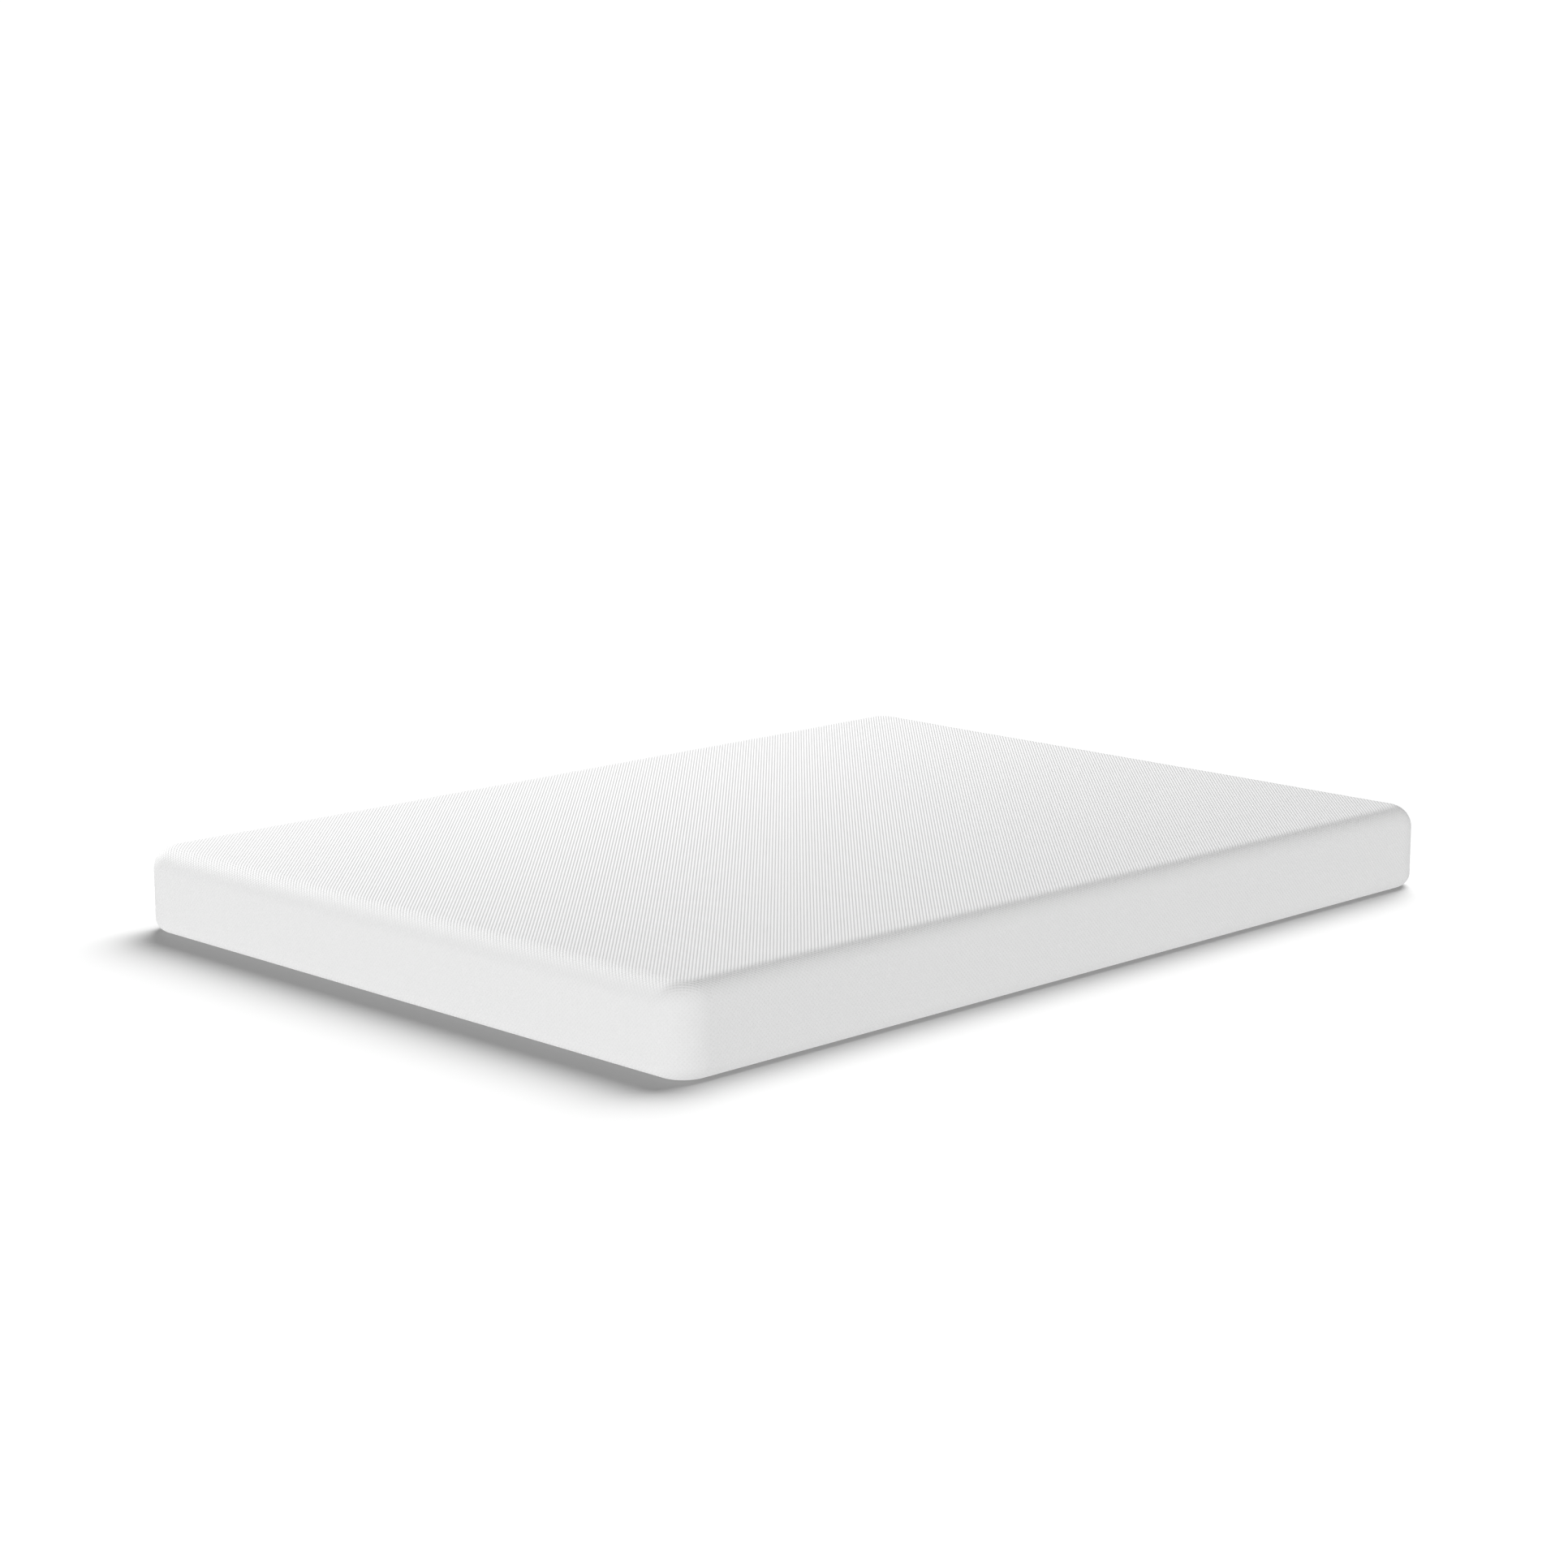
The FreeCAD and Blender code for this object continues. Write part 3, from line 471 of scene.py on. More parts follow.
def cloth_finish(name, dark, light, yarn, relief, rough=0.8, lean=0.0):
    """Plain, close cloth: crossing yarns, whose lines lean where it is a twill."""
    f = Finish(name)
    place = f.place()
    x, y, z = f.parts(place)
    warp = ((x + z * lean) * (TURN / yarn)).maths("SINE") * 0.5 + 0.5
    weft = ((y + z + x * lean) * (TURN / yarn)).maths("SINE") * 0.5 + 0.5
    drift = f.noise(place, 40.0, 3.0)
    # Painted shade: the gaps between the crossing yarns are coloured darker; the drift is the cloth's own
    # tone, varying at random.
    tone = warp * 0.25 + weft * 0.25 + drift * 0.6
    return f.surface((warp + weft) * relief, Base_Color=f.shade(tone, dark, light),
                     Roughness=rough + drift * 0.08, Specular_IOR_Level=0.3)


label_half = (law_high - law_low)[:2] / 2
label_points, label_faces = thin_slab(label_half, (13, 19), LABEL_CORNER, LABEL_REST, law_high[2])
label_points[:, :2] += (law_low + law_high)[:2] / 2
law_finish = cloth_finish("bonded_fibre_cloth", (0.74, 0.74, 0.72), (0.86, 0.86, 0.84), 0.5 * MM, 0.03 * MM)
law_patch = new_piece("law_patch", label_points, label_faces, law_finish)
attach(law_patch, "mattress")
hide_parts("law_label")

thread_finish = cloth_finish("sewing_thread", (0.66, 0.66, 0.66), (0.86, 0.86, 0.86), 0.35 * MM, 0.03 * MM,
                             rough=0.6, lean=0.6)
patch_corners = rectangle((*(law_low[:2] + LABEL_STITCH_INSET), 0), (*(law_high[:2] - LABEL_STITCH_INSET), 0))
patch_points, patch_faces = stitch_rows(*stitch_loop(patch_corners), np.array([0, 0, -1.0]))
# flattened, and pressed into the label's face
patch_points[:, 2] = np.maximum(patch_points[:, 2] * 0.5 + 0.25 * MM, 0.02 * MM)
patch_stitches = new_piece("patch_stitches", patch_points, patch_faces, thread_finish)
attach(patch_stitches, "mattress")

# ------------
# Knit cover. One white pinhole knit runs over the top, the rounded edges and the walls and turns
# in under the bottom edge. Its corners are shaped on the knitting machine, so they show no seam.
# The head-end wall has a slot for the zip, with its raw edges rolled in.

KNIT_CELL = 250 * MM / 33.5  # one square repeat, which holds two rows of pinholes
CELLS_IN_TILE = 24
TILE = KNIT_CELL * CELLS_IN_TILE
KNIT_THICKNESS = 2.4 * MM
# the middle one is painted shade: how much darker the pinholes are coloured
DIP_DEPTH, PAINTED_HOLE_SHADE, YARN_RELIEF = 1.2 * MM, 0.05, 0.02 * MM
WALL_PULL = 0.45  # the share of a dip's depth left where the knit is pulled tight over the walls
PULLED_BELOW, SLACK_ABOVE = 136 * MM, 151.5 * MM  # heights, on the top rounding
WALES_IN_CELL, COURSES_IN_CELL = 7, 9
KNIT_WHITE = (0.85, 0.85, 0.85)

cover_low, cover_high = np.array(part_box("knit_cover"))
CORNER, TOP_ROUND, BOTTOM_ROUND = 58 * MM, 40 * MM, 25 * MM
CORNER_STEPS, CORNER_CLOTH = 12, 12.624 * KNIT_CELL  # steps round a corner, and the cloth it takes
WRAP_RADIUS = 48 * MM  # from this radius outward the cloth runs level round a corner
EDGE_TURNS = 10  # steps of a rounding
HEM_RETURN, OPENING_CORNER, HEM_LIFT = 45 * MM, 30 * MM, 0.5 * MM
SLOT_HALF, SLOT_LOW, SLOT_HIGH, LIP = 610 * MM, 65 * MM, 75 * MM, 1.2 * MM
STITCH_GAP, STITCH_DENT = 3.6 * MM, 0.7 * MM  # from slot to stitches, and how deep they pull the cloth
SOFT_FROM, SOFTNESS = 112 * MM, 0.35 * MM  # the cloth's soft waves lie above the wall

cover_half = cover_high[:2] - CORNER
side_columns = np.linspace(SLOT_HALF + LIP, cover_half[0], 3)
slot_columns = np.linspace(-SLOT_HALF - LIP, SLOT_HALF + LIP, 103)[1:-1]
cover_columns = np.concatenate([-side_columns[::-1], slot_columns, side_columns])
cover_rows = np.linspace(-cover_half[1], cover_half[1], 148)


def knit_finish():
    """Pinhole knit, white. Pinholes lie where cos(across) * cos(along) is 1: on a square repeat and
    in its middle. The cloth dips into each by the square of (1 + product) / 2, so its slope follows
    from the same waves and is given as a normal. Fine loops of yarn run in wales between them."""
    f = Finish("white_pinhole_knit")
    u, v, _ = f.parts(f.node("UVMap", {"uv_map": "OFBake"}))
    across, along = u * CELLS_IN_TILE, v * CELLS_IN_TILE
    sin_u, cos_u = (across * TURN).maths("SINE"), (across * TURN).maths("COSINE")
    sin_v, cos_v = (along * TURN).maths("SINE"), (along * TURN).maths("COSINE")
    dip = (cos_u * cos_v + 1) / 2
    height = f.parts(f.place())[2]
    slack = f.step(height, PULLED_BELOW, SLACK_ABOVE) * (1 - WALL_PULL) + WALL_PULL
    steep = slack * (DIP_DEPTH * TURN / KNIT_CELL)
    slope_u, slope_v = dip * sin_u * cos_v * steep, dip * cos_u * sin_v * steep
    slopes = f.node("CombineXYZ", inputs=[0.5 - slope_u * 0.5, 0.5 - slope_v * 0.5, 1.0])
    dipped = f.node("NormalMap", {"uv_map": "OFBake"}, {"Color": slopes})
    hole = f.step(dip, 0.75, 0.97) * slack
    wale, course = across * WALES_IN_CELL, along * COURSES_IN_CELL
    leg = (wale - (wale + 0.5).maths("FLOOR")).maths("ABSOLUTE") * 2
    loop = ((course + leg * 0.8) * math.pi).maths("SINE").maths("ABSOLUTE")
    yarn = loop * (1 - f.step(leg, 0.7, 1.0) * 0.8)
    round_u = f.node("CombineXYZ", inputs=[(u * TURN).maths("COSINE"), (u * TURN).maths("SINE"),
                                                     (v * TURN).maths("COSINE")])
    drift = f.node("TexNoise", {"noise_dimensions": "4D"},
                   {"Vector": round_u, "W": (v * TURN).maths("SINE"), "Scale": 1.6, "Detail": 3.0})
    # Painted shade: the pinholes are coloured darker, less so where the knit is pulled tight over the walls,
    # and the gaps between the yarn loops a little darker. Besides this the knit is coloured a little darker
    # on the walls than on the top, and the drift varies its tone at random.
    tone = (yarn * 0.02 + 0.98) * (1 - hole * PAINTED_HOLE_SHADE) * (slack * 0.05 + 0.95) + (drift - 0.5) * 0.015
    colour = f.shade(tone, (0.0, 0.0, 0.0), KNIT_WHITE)
    return f.surface(yarn * YARN_RELIEF, under=dipped, Base_Color=colour, Roughness=0.82 + hole * 0.1,
                     Specular_IOR_Level=0.2, Sheen_Weight=0.1, Sheen_Roughness=0.5)


def wall_rows():
    """Heights of the wall's rows of points between its two roundings: close together beside the
    slot's lips and the stitch rows, wider apart elsewhere."""
    from_slot = np.array([LIP, 1.8 * MM, STITCH_GAP, 5.4 * MM, 9 * MM])
    return np.concatenate([(SLOT_HIGH + from_slot)[::-1], SLOT_LOW - from_slot])


corner_base, corner_out, side_out, side_along, corner_share = ring_of(
    cover_columns, cover_rows, CORNER_STEPS)
next_place = np.roll(np.arange(len(corner_base)), -1)
head_wall = (np.abs(corner_base[:, 1] - cover_half[1]) < SAME) & (corner_out[:, 1] > 0.999)


def cover_profile(inward):
    """The cover's profile, or the same moved inward: the flat top, a quarter circle, the wall with
    its rows, a quarter circle, and the hem that runs in under the mattress."""
    corner, underside = CORNER - inward, cover_low[2] + inward
    rows = rounded_profile(corner, underside, cover_high[2] - inward, TOP_ROUND - inward,
                           BOTTOM_ROUND - inward, EDGE_TURNS)
    wall = EDGE_TURNS + 2
    rows[wall:wall] = [(0, corner, z) for z in wall_rows()]
    start = rows[-1][1]
    shift = OPENING_CORNER - (CORNER - HEM_RETURN)
    rows += [(shift * share, start + (OPENING_CORNER - start) * share, underside)
             for share in (0.35, 0.7, 0.93)]
    rows.append((shift, OPENING_CORNER, underside + (0 if inward else HEM_LIFT)))
    rows.insert(1, (0, rows[1][1] * 0.5, rows[0][2]))
    return rows


def cover_softness(points):
    """How far each point of the cloth stands up or down, in metres: long, shallow waves."""
    x, y, _ = points.T
    wave = (np.sin(x * TURN / 0.47 + 0.6) * np.sin(y * TURN / 0.61 + 1.9) * 0.5
            + np.sin(x * TURN / 0.23 + 2.2 + y * 3) * np.sin(y * TURN / 0.31 + 0.4) * 0.3
            + np.sin((x + y) * TURN / 0.83) * 0.4)
    return wave * SOFTNESS


def knit_lengths(profile):
    """How far along the cloth each row of the profile lies from the flat top."""
    inset, radius, height = np.array(profile).T
    return np.concatenate([[0], np.cumsum(np.hypot(np.diff(radius - inset), np.diff(height)))])


def knit_coordinates(points, faces, profile, ring_count):
    """The knit's own flat coordinates, a pair for each corner of each face: x and y on the top,
    and past it the length of cloth gone over the edge, straight out from the side. Round a corner
    of the wall they run on level, through CORNER_CLOTH of cloth, so that the rows stay in line."""
    gone = knit_lengths(profile)
    ring_faces = ring_count * len(corner_base)
    grid = faces[:len(faces) - ring_faces]
    flat = [points[grid][:, :, :2]]
    on_corner = np.abs(np.abs(corner_base) - cover_half).max(1) < SAME
    start, out, along = corner_base[on_corner], side_out[on_corner], side_along[on_corner]
    share = corner_share[on_corner][:, None] * CORNER_CLOTH
    after = share + CORNER_CLOTH / CORNER_STEPS
    first_wrapped = next(n for n, row in enumerate(profile) if row[1] > WRAP_RADIUS)
    for number in range(ring_count):
        a, b = gone[number], gone[number + 1]
        near, far = corner_base + a * corner_out, corner_base + b * corner_out
        quad = np.stack([near, far, far[next_place], near[next_place]], 1)
        if number >= first_wrapped:
            quad[on_corner] = np.stack([start + a * out + share * along, start + b * out + share * along,
                                        start + b * out + after * along, start + a * out + after * along], 1)
        flat.append(quad)
    return np.concatenate(flat) / TILE


def build_cover():
    """Two skins a knit's thickness apart, with the slot opened in both. The slot's lips are rolled:
    across the half turn a, cos(a) goes from the outer skin to the inner one, and sin(a) * LIP
    towards the slot's middle. The hem's edge is closed in the same way, without the roll."""
    profile = cover_profile(0)
    outer, faces, rings = slab_skin(cover_columns, cover_rows, CORNER_STEPS, profile)
    inner = slab_skin(cover_columns, cover_rows, CORNER_STEPS, cover_profile(KNIT_THICKNESS))[0]
    heights = np.array(profile)[:, 2]
    # the stitch rows draw the cloth in
    for ring, height in zip(rings[1:], heights[1:]):
        from_stitches = min(abs(height - SLOT_HIGH - STITCH_GAP), abs(height - SLOT_LOW + STITCH_GAP))
        if from_stitches < 0.1 * MM:
            held = head_wall & (np.abs(outer[ring, 0]) < SLOT_HALF + STITCH_GAP)
            outer[ring[held], 1] -= STITCH_DENT
    uv = knit_coordinates(outer, faces, profile, len(rings) - 1)
    total = len(outer)
    points = [outer, inner]

    # open the slot in both skins
    upper_row = next(n for n, h in enumerate(heights) if abs(h - SLOT_HIGH - LIP) < SAME)
    middles = np.abs(corner_base[:, 0] + corner_base[next_place, 0]) / 2
    open_at = np.flatnonzero(head_wall & head_wall[next_place] & (middles < SLOT_HALF))
    closed = np.ones(len(faces), bool)
    rings_below = len(rings) - 1 - upper_row
    closed[len(faces) - rings_below * len(corner_base) + open_at] = False
    skins, skin_uv = faces[closed], uv[closed]

    # roll its lips
    places = np.append(open_at, open_at[-1] + 1)
    loop = np.concatenate([rings[upper_row][places], rings[upper_row + 1][places][::-1]])
    to_middle = np.zeros((len(loop), 3))
    to_middle[:, 2] = np.repeat([-1, 1], len(places))
    ends = [0, len(places) - 1, len(places), len(loop) - 1]
    to_middle[ends, 0] = np.where(outer[loop[ends], 0] < 0, 1, -1)
    loops, count = [loop], 2 * total
    for angle in np.linspace(0, math.pi, 6)[1:-1]:
        share = (1 + math.cos(angle)) / 2
        points.append(outer[loop] * share + inner[loop] * (1 - share) + to_middle * LIP * math.sin(angle))
        loops.append(np.arange(len(loop)) + count)
        count += len(loop)
    loops.append(loop + total)
    edges = [np.stack([b, np.roll(b, -1), np.roll(a, -1), a], -1) for a, b in zip(loops[:-1], loops[1:])]
    hem = rings[-1]
    edges.append(np.stack([hem, hem + total, np.roll(hem, -1) + total, np.roll(hem, -1)], -1))
    edges = np.concatenate(edges)
    points = np.concatenate(points)
    corners = points[edges]
    edge_uv = np.stack([corners[..., 0] + corners[..., 1], corners[..., 2] + corners[..., 1]], -1) / TILE

    on_top = points[:, 2] > SOFT_FROM
    points[on_top, 2] += cover_softness(points[on_top])
    faces = np.concatenate([skins, skins[:, ::-1] + total, edges])
    uv = np.concatenate([skin_uv, skin_uv[:, ::-1], edge_uv])
    return new_piece("knitted_cover", points, faces, knit_finish(), uv=uv)


knitted_cover = build_cover()
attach(knitted_cover, "mattress")
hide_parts("knit_cover")
cloth_past_top = knit_lengths(cover_profile(0))[-1]

# ------------
# Underside seam. An overlocked seam joins the hem to the base panel all the way round: a thread
# zigzags over both edges, two straight threads hold it, and the edges' cloth fills the gap.

ZIGZAG_PITCH, ZIGZAG_REACH, ZIGZAG_HEIGHT, ZIGZAG_RADIUS = 3.2 * MM, 2.6 * MM, 0.42 * MM, 0.3 * MM
NEEDLE_OUT, NEEDLE_HEIGHT, NEEDLE_RADIUS = 1.6 * MM, 0.75 * MM, 0.35 * MM
FILLING_HEIGHT, FILLING_WIDE, FILLING_HIGH = 1.6 * MM, 2.2 * MM, 0.8 * MM
SEAM_STEP = 8 * MM


def seam_path(outwards, spacing, height):
    """A closed path round the seam, in steps of equal length close to spacing. The outwards are
    distances out from the seam's middle, which the points take in turn a whole number of times."""
    middle = (panel_high[:2] + cover_high[:2] - HEM_RETURN) / 2
    corner = OPENING_CORNER - (cover_high[0] - HEM_RETURN - panel_high[0]) / 2
    columns, rows = [np.linspace(-half, half, 3) for half in middle - corner]
    base, out = ring_of(columns, rows, 24)[:2]
    path = base + out * corner
    path, out = np.vstack([path, path[:1]]), np.vstack([out, out[:1]])
    gone = np.concatenate([[0], np.cumsum(np.linalg.norm(np.diff(path, axis=0), axis=1))])
    count = len(outwards) * int(round(gone[-1] / spacing / len(outwards)))
    at = np.arange(count) / count * gone[-1]
    x, y, out_x, out_y = [np.interp(at, gone, values) for values in (*path.T, *out.T)]
    outward = np.resize(outwards, count)
    return np.column_stack([x + outward * out_x, y + outward * out_y, np.full(count, height)])


def thread_tube(path, wide, high, up, sides=5):
    """A closed tube along a closed path, wide to each side and high along the up direction."""
    ahead = np.roll(path, -1, 0) - np.roll(path, 1, 0)
    ahead /= np.linalg.norm(ahead, axis=1)[:, None]
    side = np.cross(ahead, up)
    side /= np.linalg.norm(side, axis=1)[:, None]
    lift = np.cross(side, ahead)
    angle = np.arange(sides) * TURN / sides
    points = (path[:, None] + side[:, None] * np.cos(angle)[None, :, None] * wide
              + lift[:, None] * np.sin(angle)[None, :, None] * high)
    number = np.arange(len(path) * sides).reshape(len(path), sides)
    ahead_number = np.roll(number, -1, 0)
    faces = np.stack([number, np.roll(number, -1, 1), np.roll(ahead_number, -1, 1), ahead_number], -1)
    return points.reshape(-1, 3), faces.reshape(-1, 4)[:, ::-1]


def joined(parts):
    """Several (points, faces) pairs as one."""
    starts = np.cumsum([0] + [len(points) for points, faces in parts[:-1]])
    return (np.concatenate([points for points, faces in parts]),
            np.concatenate([faces + start for (points, faces), start in zip(parts, starts)]))


def seam_threads():
    """The zigzag has six points to a pitch, at outward distances of reach * (-1, -1, 0, 1, 1, 0)
    from the seam's middle. The straight threads run through its turns."""
    up = np.array([0, 0, 1.0])
    turns = np.array([-1, -1, 0, 1, 1, 0]) * ZIGZAG_REACH
    zigzag = seam_path(turns, ZIGZAG_PITCH / len(turns), ZIGZAG_HEIGHT)
    parts = [thread_tube(zigzag, ZIGZAG_RADIUS, ZIGZAG_RADIUS, up)]
    for outward in (-NEEDLE_OUT, NEEDLE_OUT):
        needle_line = seam_path([outward], SEAM_STEP, NEEDLE_HEIGHT)
        parts.append(thread_tube(needle_line, NEEDLE_RADIUS, NEEDLE_RADIUS, up))
    filling = seam_path([0.0], SEAM_STEP, FILLING_HEIGHT)
    parts.append(thread_tube(filling, FILLING_WIDE, FILLING_HIGH, up, sides=10))
    return joined(parts)


seam_overlock = new_piece("seam_overlock", *seam_threads(), thread_finish)
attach(seam_overlock, "mattress")
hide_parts("underside_seam")

# ------------
# Zip tapes. Two woven polyester tapes behind the slot, one sewn to each of its edges. They are
# longer than the slot, and their ends lie flat behind the knit.

TAPE_CORNER = 1 * MM


def stand_up(points, face, height):
    """Turns a flat slab's points about X, so that its top looks towards the head."""
    return np.column_stack([points[:, 0], face + points[:, 2], height - points[:, 1]])


def zip_tape(name, node):
    """A thin strip. Across its width its edges bow in by 0.1 mm * (1 - cos(pi w / width)), and
    along its length it stands in by 0.04 mm * (1 + sin(50 x))."""
    low, high = np.array(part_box(node))
    half_length, half_width = (high[0] - low[0]) / 2, (high[2] - low[2]) / 2
    thickness = high[1] - low[1]
    points, faces = thin_slab((half_length, half_width), (161, 9), TAPE_CORNER, 0, thickness)
    width = 2 * half_width
    points[:, 2] -= (1 - np.cos(points[:, 1] * math.pi / width)) * 0.1 * MM
    points[:, 2] -= (1 + np.sin(points[:, 0] * 50)) * 0.04 * MM
    piece = new_piece(name, stand_up(points, low[1], (low[2] + high[2]) / 2), faces, tape_finish)
    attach(piece, "mattress")
    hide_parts(node)


tape_finish = cloth_finish("tape_twill", (0.64, 0.64, 0.64), (0.84, 0.84, 0.84), 0.9 * MM, 0.05 * MM,
                           rough=0.7, lean=1.0)
zip_tape("tape_upper", "zip_tape_upper")
zip_tape("tape_lower", "zip_tape_lower")

# ------------
# Zip coils. Each is one nylon strand wound into loops and sewn along its tape's edge. The two
# rows' loops stand half a pitch apart, and their heads hook over each other between the tapes.

COIL_PITCH, STRAND_RADIUS, LOOP_POINTS, STRAND_SIDES = 1.25 * MM, 0.3 * MM, 9, 5
HOOK = 0.95 * MM  # how far a head reaches past its coil's front edge
BACK_INSET, SHOULDER = 1 / 8, 0.12  # shares of the coil's width, and of a loop's reach


def end_caps(points, faces, sides, start, end):
    """Opens a closed tube between its last and first rings, and closes each on a point instead."""
    rings = points.reshape(-1, sides, 3)
    rings[0] += start - rings[0].mean(0)
    count = len(points)
    ring, after, pole = np.arange(sides), np.roll(np.arange(sides), -1), np.full(sides, count)
    last = count - sides
    caps = [np.stack([pole, pole, ring, after], 1),
            np.stack([pole + 1, pole + 1, last + after, last + ring], 1)]
    return np.concatenate([points, [start, end]]), np.concatenate([faces[:-sides]] + caps)


def zip_coil(name, node, up):
    """A flattened helix. With t counting turns, x = start + pitch t, its place across the tape is
    a cosine from the coil's back edge to its head, and its height off the tape is a sine."""
    low, high = np.array(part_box(node))
    turns = int((high[0] - low[0]) / COIL_PITCH) - 1
    t = np.arange(turns * LOOP_POINTS + 1) / LOOP_POINTS
    back, front = (high[2], low[2]) if up else (low[2], high[2])
    back += (front - back) * BACK_INSET
    head = front + math.copysign(HOOK, front - back)
    middle, reach = (back + head) / 2, (head - back) / 2
    shift = COIL_PITCH / 2 if up else 0.0
    deep = (high[1] - low[1]) / 2 - STRAND_RADIUS
    path = np.column_stack([low[0] + STRAND_RADIUS + shift + COIL_PITCH * t,
                            (low[1] + high[1]) / 2 - deep * np.sin(TURN * t),
                            middle - reach * np.cos(TURN * t) * (1 - SHOULDER * np.sin(TURN * t) ** 2)])
    points, faces = thread_tube(path, STRAND_RADIUS, STRAND_RADIUS, np.array([1.0, 0, 0]), STRAND_SIDES)
    points, faces = end_caps(points, faces, STRAND_SIDES, path[0], path[-1])
    piece = new_piece(name, points, faces, coil_finish)
    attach(piece, "mattress")
    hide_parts(node)


def nylon_finish():
    """Smooth, half-dull nylon with a slow drift of tone."""
    f = Finish("coil_nylon")
    drift = f.noise(f.place(), 60.0, 2.0)
    return f.surface(Base_Color=f.shade(drift, (0.70, 0.70, 0.70), (0.84, 0.84, 0.84)),
                     Roughness=0.32 + drift * 0.1, Specular_IOR_Level=0.5)


coil_finish = nylon_finish()
zip_coil("coil_lower", "zip_coil_lower", up=False)
zip_coil("coil_upper", "zip_coil_upper", up=True)

# ------------
# Zip stitching. A line of short stitches runs round the slot, close to its edge. It goes through
# the knit and the tape behind, and over the top of the care label.

care_low, care_high = np.array(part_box("care_label"))
stitch_face = cover_high[1] - STITCH_DENT - 0.15 * MM
row_end, row_low, row_high = SLOT_HALF + STITCH_GAP, SLOT_LOW - STITCH_GAP, SLOT_HIGH + STITCH_GAP
row_corners = rectangle((-row_end, stitch_face, row_low), (row_end, stitch_face, row_high))
zip_middles, zip_alongs = stitch_loop(row_corners)
across_label = (zip_middles[:, 0] > care_low[0] - MM) & (zip_middles[:, 0] < care_high[0] + MM)
over_label = (zip_middles[:, 2] < SLOT_LOW) & across_label
zip_middles[over_label, 1] = care_high[1] + 0.05 * MM
at_ends = np.abs(zip_alongs[:, 2]) > 0.5  # the cloth isn't drawn in there
zip_middles[at_ends, 1] = cover_high[1] - 0.1 * MM
zip_points, zip_faces = stitch_rows(zip_middles, zip_alongs, np.array([0, 1.0, 0]))
zip_stitches = new_piece("zip_stitches", zip_points, zip_faces, thread_finish)
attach(zip_stitches, "mattress")

# ------------
# Care label. A strip of satin ribbon, folded in half, with both ends caught under the stitches
# below the zip. The fold hangs free and stands a little off the wall. It carries no print.

RIBBON, FOLD_ROUND = 0.16 * MM, 0.42 * MM
RIBBON_COLUMNS, RIBBON_ROWS, FOLD_STEPS = 9, 14, 8
SWELL, FLARE = 0.5 * MM, 0.5 * MM


def folded_ribbon():
    """Down the back, half a turn round the fold and up the front, which leans in to the back at
    the top. With s from 0 at the top to 1 at the fold, the front stands off by SWELL * sin(pi s)^2
    more, and the whole ribbon by FLARE * s^2 * (1 + sin(90 x + 1))."""
    back, top, fold = care_low[1] + 0.12 * MM, care_high[2] + 0.4 * MM, care_low[2] + FOLD_ROUND
    down = np.linspace(0, 1, RIBBON_ROWS)
    turn = np.linspace(0, math.pi, FOLD_STEPS)[1:-1]
    front = 2 * FOLD_ROUND * down + SWELL * np.sin(math.pi * down) ** 2 + RIBBON * 1.2 * (1 - down)
    drop = top + (fold - top) * down
    y = back + np.concatenate([0 * down, FOLD_ROUND * (1 - np.cos(turn)), front[::-1]])
    z = np.concatenate([drop, fold - FOLD_ROUND * np.sin(turn), drop[::-1]])
    middle = np.stack([y, z], 1)
    ahead = np.gradient(middle, axis=0)
    ahead /= np.linalg.norm(ahead, axis=1)[:, None]
    normal = np.stack([ahead[:, 1], -ahead[:, 0]], 1)
    x = np.linspace(care_low[0], care_high[0], RIBBON_COLUMNS)[:, None]
    sheets = []
    for side in (-0.5, 0.5):
        y, z = (middle + normal * side * RIBBON).T
        share = (top - z) / (top - care_low[2])
        stands_off = share ** 2 * FLARE * (1 + np.sin(x * 90 + 1))
        sheets.append(np.stack(np.broadcast_arrays(x, y + stands_off, z), -1).reshape(-1, 3))
    number = np.arange(len(sheets[0])).reshape(RIBBON_COLUMNS, -1)
    skin = np.stack([number[:-1, :-1], number[1:, :-1], number[1:, 1:], number[:-1, 1:]], -1).reshape(-1, 4)
    rim = np.concatenate([number[0, :-1], number[:-1, -1], number[-1, :0:-1], number[:0:-1, 0]])
    shift = number.size
    edge = np.stack([rim, np.roll(rim, -1), np.roll(rim, -1) + shift, rim + shift], 1)
    return np.concatenate(sheets), np.concatenate([skin, skin[:, ::-1] + shift, edge])


satin = cloth_finish("label_satin", (0.78, 0.78, 0.78), (0.88, 0.88, 0.88), 0.3 * MM, 0.01 * MM, rough=0.35)
care_ribbon = new_piece("care_ribbon", *folded_ribbon(), satin)
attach(care_ribbon, "mattress")
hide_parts("care_label")

# ------------
# Zip stops, slider and pull. Die-cast zinc with a dull nickel finish. The stops are clamped round
# the ends of the coils, the slider runs along them, and the pull hangs on the slider's crown.


def nickel_finish():
    """Dull nickel: soft casting waves, faint scuffs and a little painted shade, grey in the hollows of the
    waves.
    """
    f = Finish("dull_nickel")
    place = f.place()
    cast, scuff = f.noise(place, 350.0, 3.0), f.noise(place, 2500.0, 2.0)
    colour = f.shade(cast * 0.6 + scuff * 0.4, (0.50, 0.49, 0.47), (0.68, 0.67, 0.65))
    return f.surface(cast * (0.02 * MM), Base_Color=colour, Metallic=1.0, Roughness=0.28 + scuff * 0.16)


nickel = nickel_finish()
for metal_part in ("zip_top_stops", "zip_bottom_stop", "zip_slider", "zip_pull"):
    metal_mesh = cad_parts[metal_part].data
    metal_mesh.materials.clear()
    metal_mesh.materials.append(nickel)

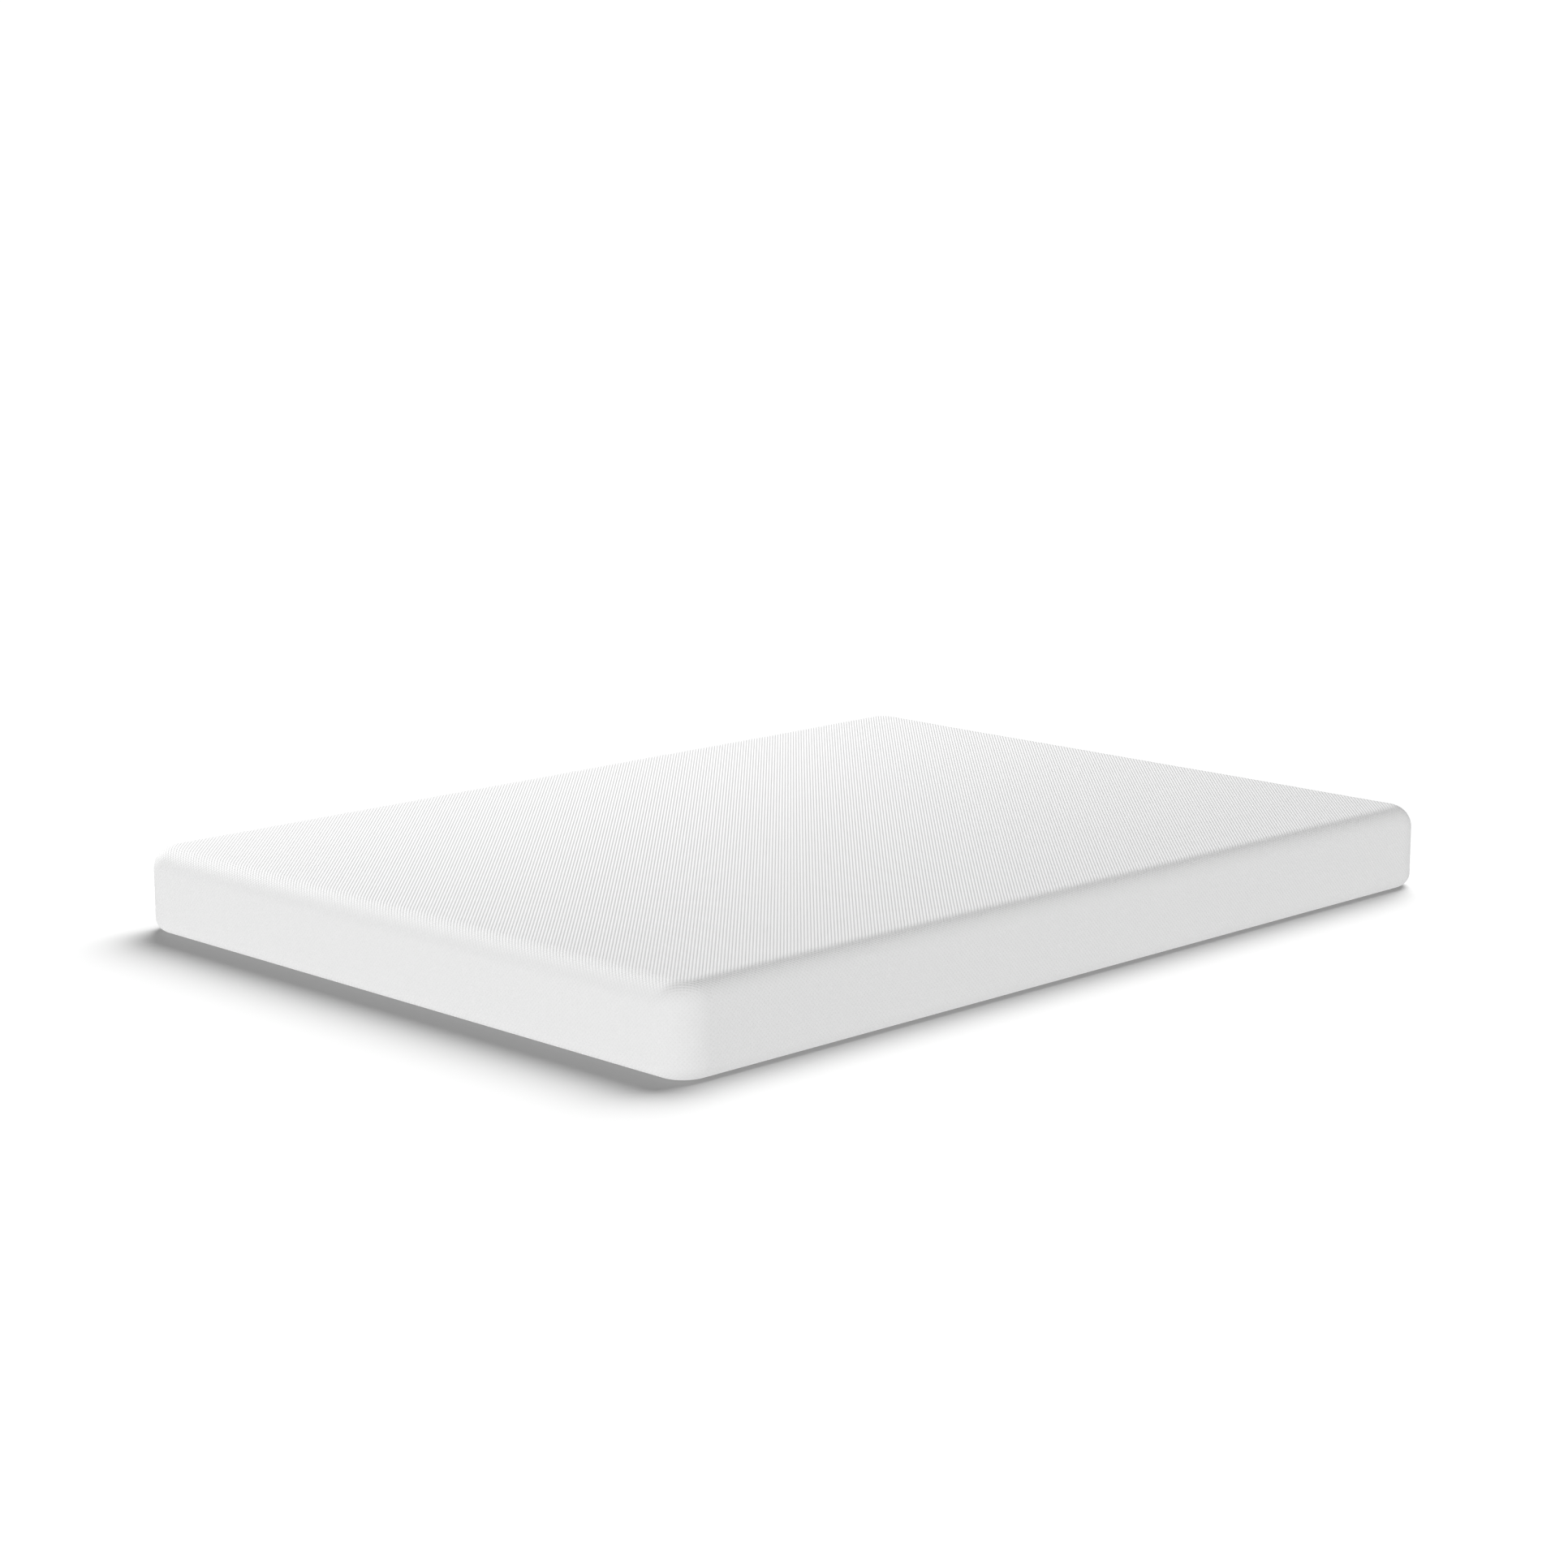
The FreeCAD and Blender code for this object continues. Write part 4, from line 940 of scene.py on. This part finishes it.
# ------------
# The studio. A plain floor, soft light from all round, a broad side lamp with a black card in
# its way, a lamp for the floor alone, and the camera.

scene = bpy.context.scene
scene.view_settings.view_transform = "Standard"
scene.view_settings.look = "None"

FLOOR_HALF = 30.0
CARD_GAP, CARD_PAST_ENDS, CARD_ABOVE_TOP, CARD_OFF_FLOOR = 110 * MM, 600 * MM, 50 * MM, 1 * MM
WORLD_LEVEL, SEEN_WHITE = 1.02, 1.05
SIDE_WATTS, SIDE_SIZE, FLOOR_STRENGTH, FLOOR_ANGLE = 660.96, 1.8, 8.7, math.radians(48)


def studio_sheet(name, low, high, grey):
    """A flat, dull sheet of paper with its opposite corners at low and high."""
    paper = Finish(name + "_paper")
    finish = paper.surface(Base_Color=(grey, grey, grey, 1), Roughness=1.0, Specular_IOR_Level=0.0)
    return new_piece(name, rectangle(low, high), np.array([[0, 1, 2, 3]]), finish, smooth=False)


floor = studio_sheet("studio_floor", (-FLOOR_HALF, -FLOOR_HALF, 0), (FLOOR_HALF, FLOOR_HALF, 0), 0.40)
floor.visible_diffuse = False
floor.visible_glossy = False


def world_light():
    """Soft light from all round, in two halves, each falling off evenly across the room: from
    above, and thrown up by the floor. Where the camera sees the world itself, it is plain white."""
    world = bpy.data.worlds.new("studio_world")
    scene.world = world
    world.use_nodes = True
    world.cycles.sampling_method = "NONE"
    f = Finish(tree=world.node_tree)
    x, y, z = f.parts(f.node("TexCoord", output="Generated"))
    above = 0.90 + x * 0.54 - y * 0.49 - z * 0.55
    below = 1.17 - x * 0.43 + z * 0.42
    up = z.maths("GREATER_THAN", 0.0)
    seen = f.node("LightPath", output="Is Camera Ray")
    strength = (above * up + below * (1 - up)) * WORLD_LEVEL * (1 - seen) + seen * SEEN_WHITE
    light = f.node("Background", inputs={"Color": (1, 1, 1, 1), "Strength": strength})
    f.node("OutputWorld", inputs=[light])


world_light()

# a black card beside the left wall, which keeps the side light off that wall
card_x, card_top = cover_low[0] - CARD_GAP, cover_high[2] + CARD_ABOVE_TOP
card_reach = cover_high[1] + CARD_PAST_ENDS
card_low, card_high = (card_x, -card_reach, CARD_OFF_FLOOR), (card_x, card_reach, card_top)
card = studio_sheet("black_card", card_low, card_high, 0.02)
for kind in ("camera", "diffuse", "glossy", "transmission"):
    setattr(card, "visible_" + kind, False)


def lamp_at(name, kind, place, power, **settings):
    """A lamp that faces the floor under the middle of the mattress."""
    data = bpy.data.lights.new(name, kind)
    data.energy = power
    for setting, value in settings.items():
        setattr(data, setting, value)
    lamp = bpy.data.objects.new(name, data)
    scene.collection.objects.link(lamp)
    lamp.location = place
    lamp.rotation_euler = Vector(place).to_track_quat("Z", "Y").to_euler()
    return lamp


def light_link(lamp, use, thing, state):
    """INCLUDE makes the thing the lamp's only receiver or blocker, and EXCLUDE leaves it out."""
    group = bpy.data.collections.new(lamp.name + "_" + use)
    group.objects.link(thing)
    group.collection_objects[0].light_linking.link_state = state
    setattr(lamp.light_linking, use + "_collection", group)


side_light = lamp_at("side_light", "AREA", (-6.76, 0.44, 3.10), SIDE_WATTS, shape="SQUARE", size=SIDE_SIZE)
light_link(side_light, "receiver", floor, "EXCLUDE")
floor_light = lamp_at("floor_light", "SUN", (-0.9, 2.55, 3.0), FLOOR_STRENGTH, angle=FLOOR_ANGLE)
light_link(floor_light, "receiver", floor, "INCLUDE")
light_link(floor_light, "blocker", card, "EXCLUDE")

camera_data = bpy.data.cameras.new("camera")
camera = bpy.data.objects.new("camera", camera_data)
scene.collection.objects.link(camera)
scene.camera = camera
camera_data.sensor_width = 36.0
camera_data.lens = 78.04
yaw, pitch = math.radians(44.884), math.radians(-11.396)
camera.location = (4.2075, -4.2315, 1.4285)
camera.rotation_euler = (math.pi / 2 + pitch, 0, math.pi / 2 - yaw)
camera_data.clip_end = 200
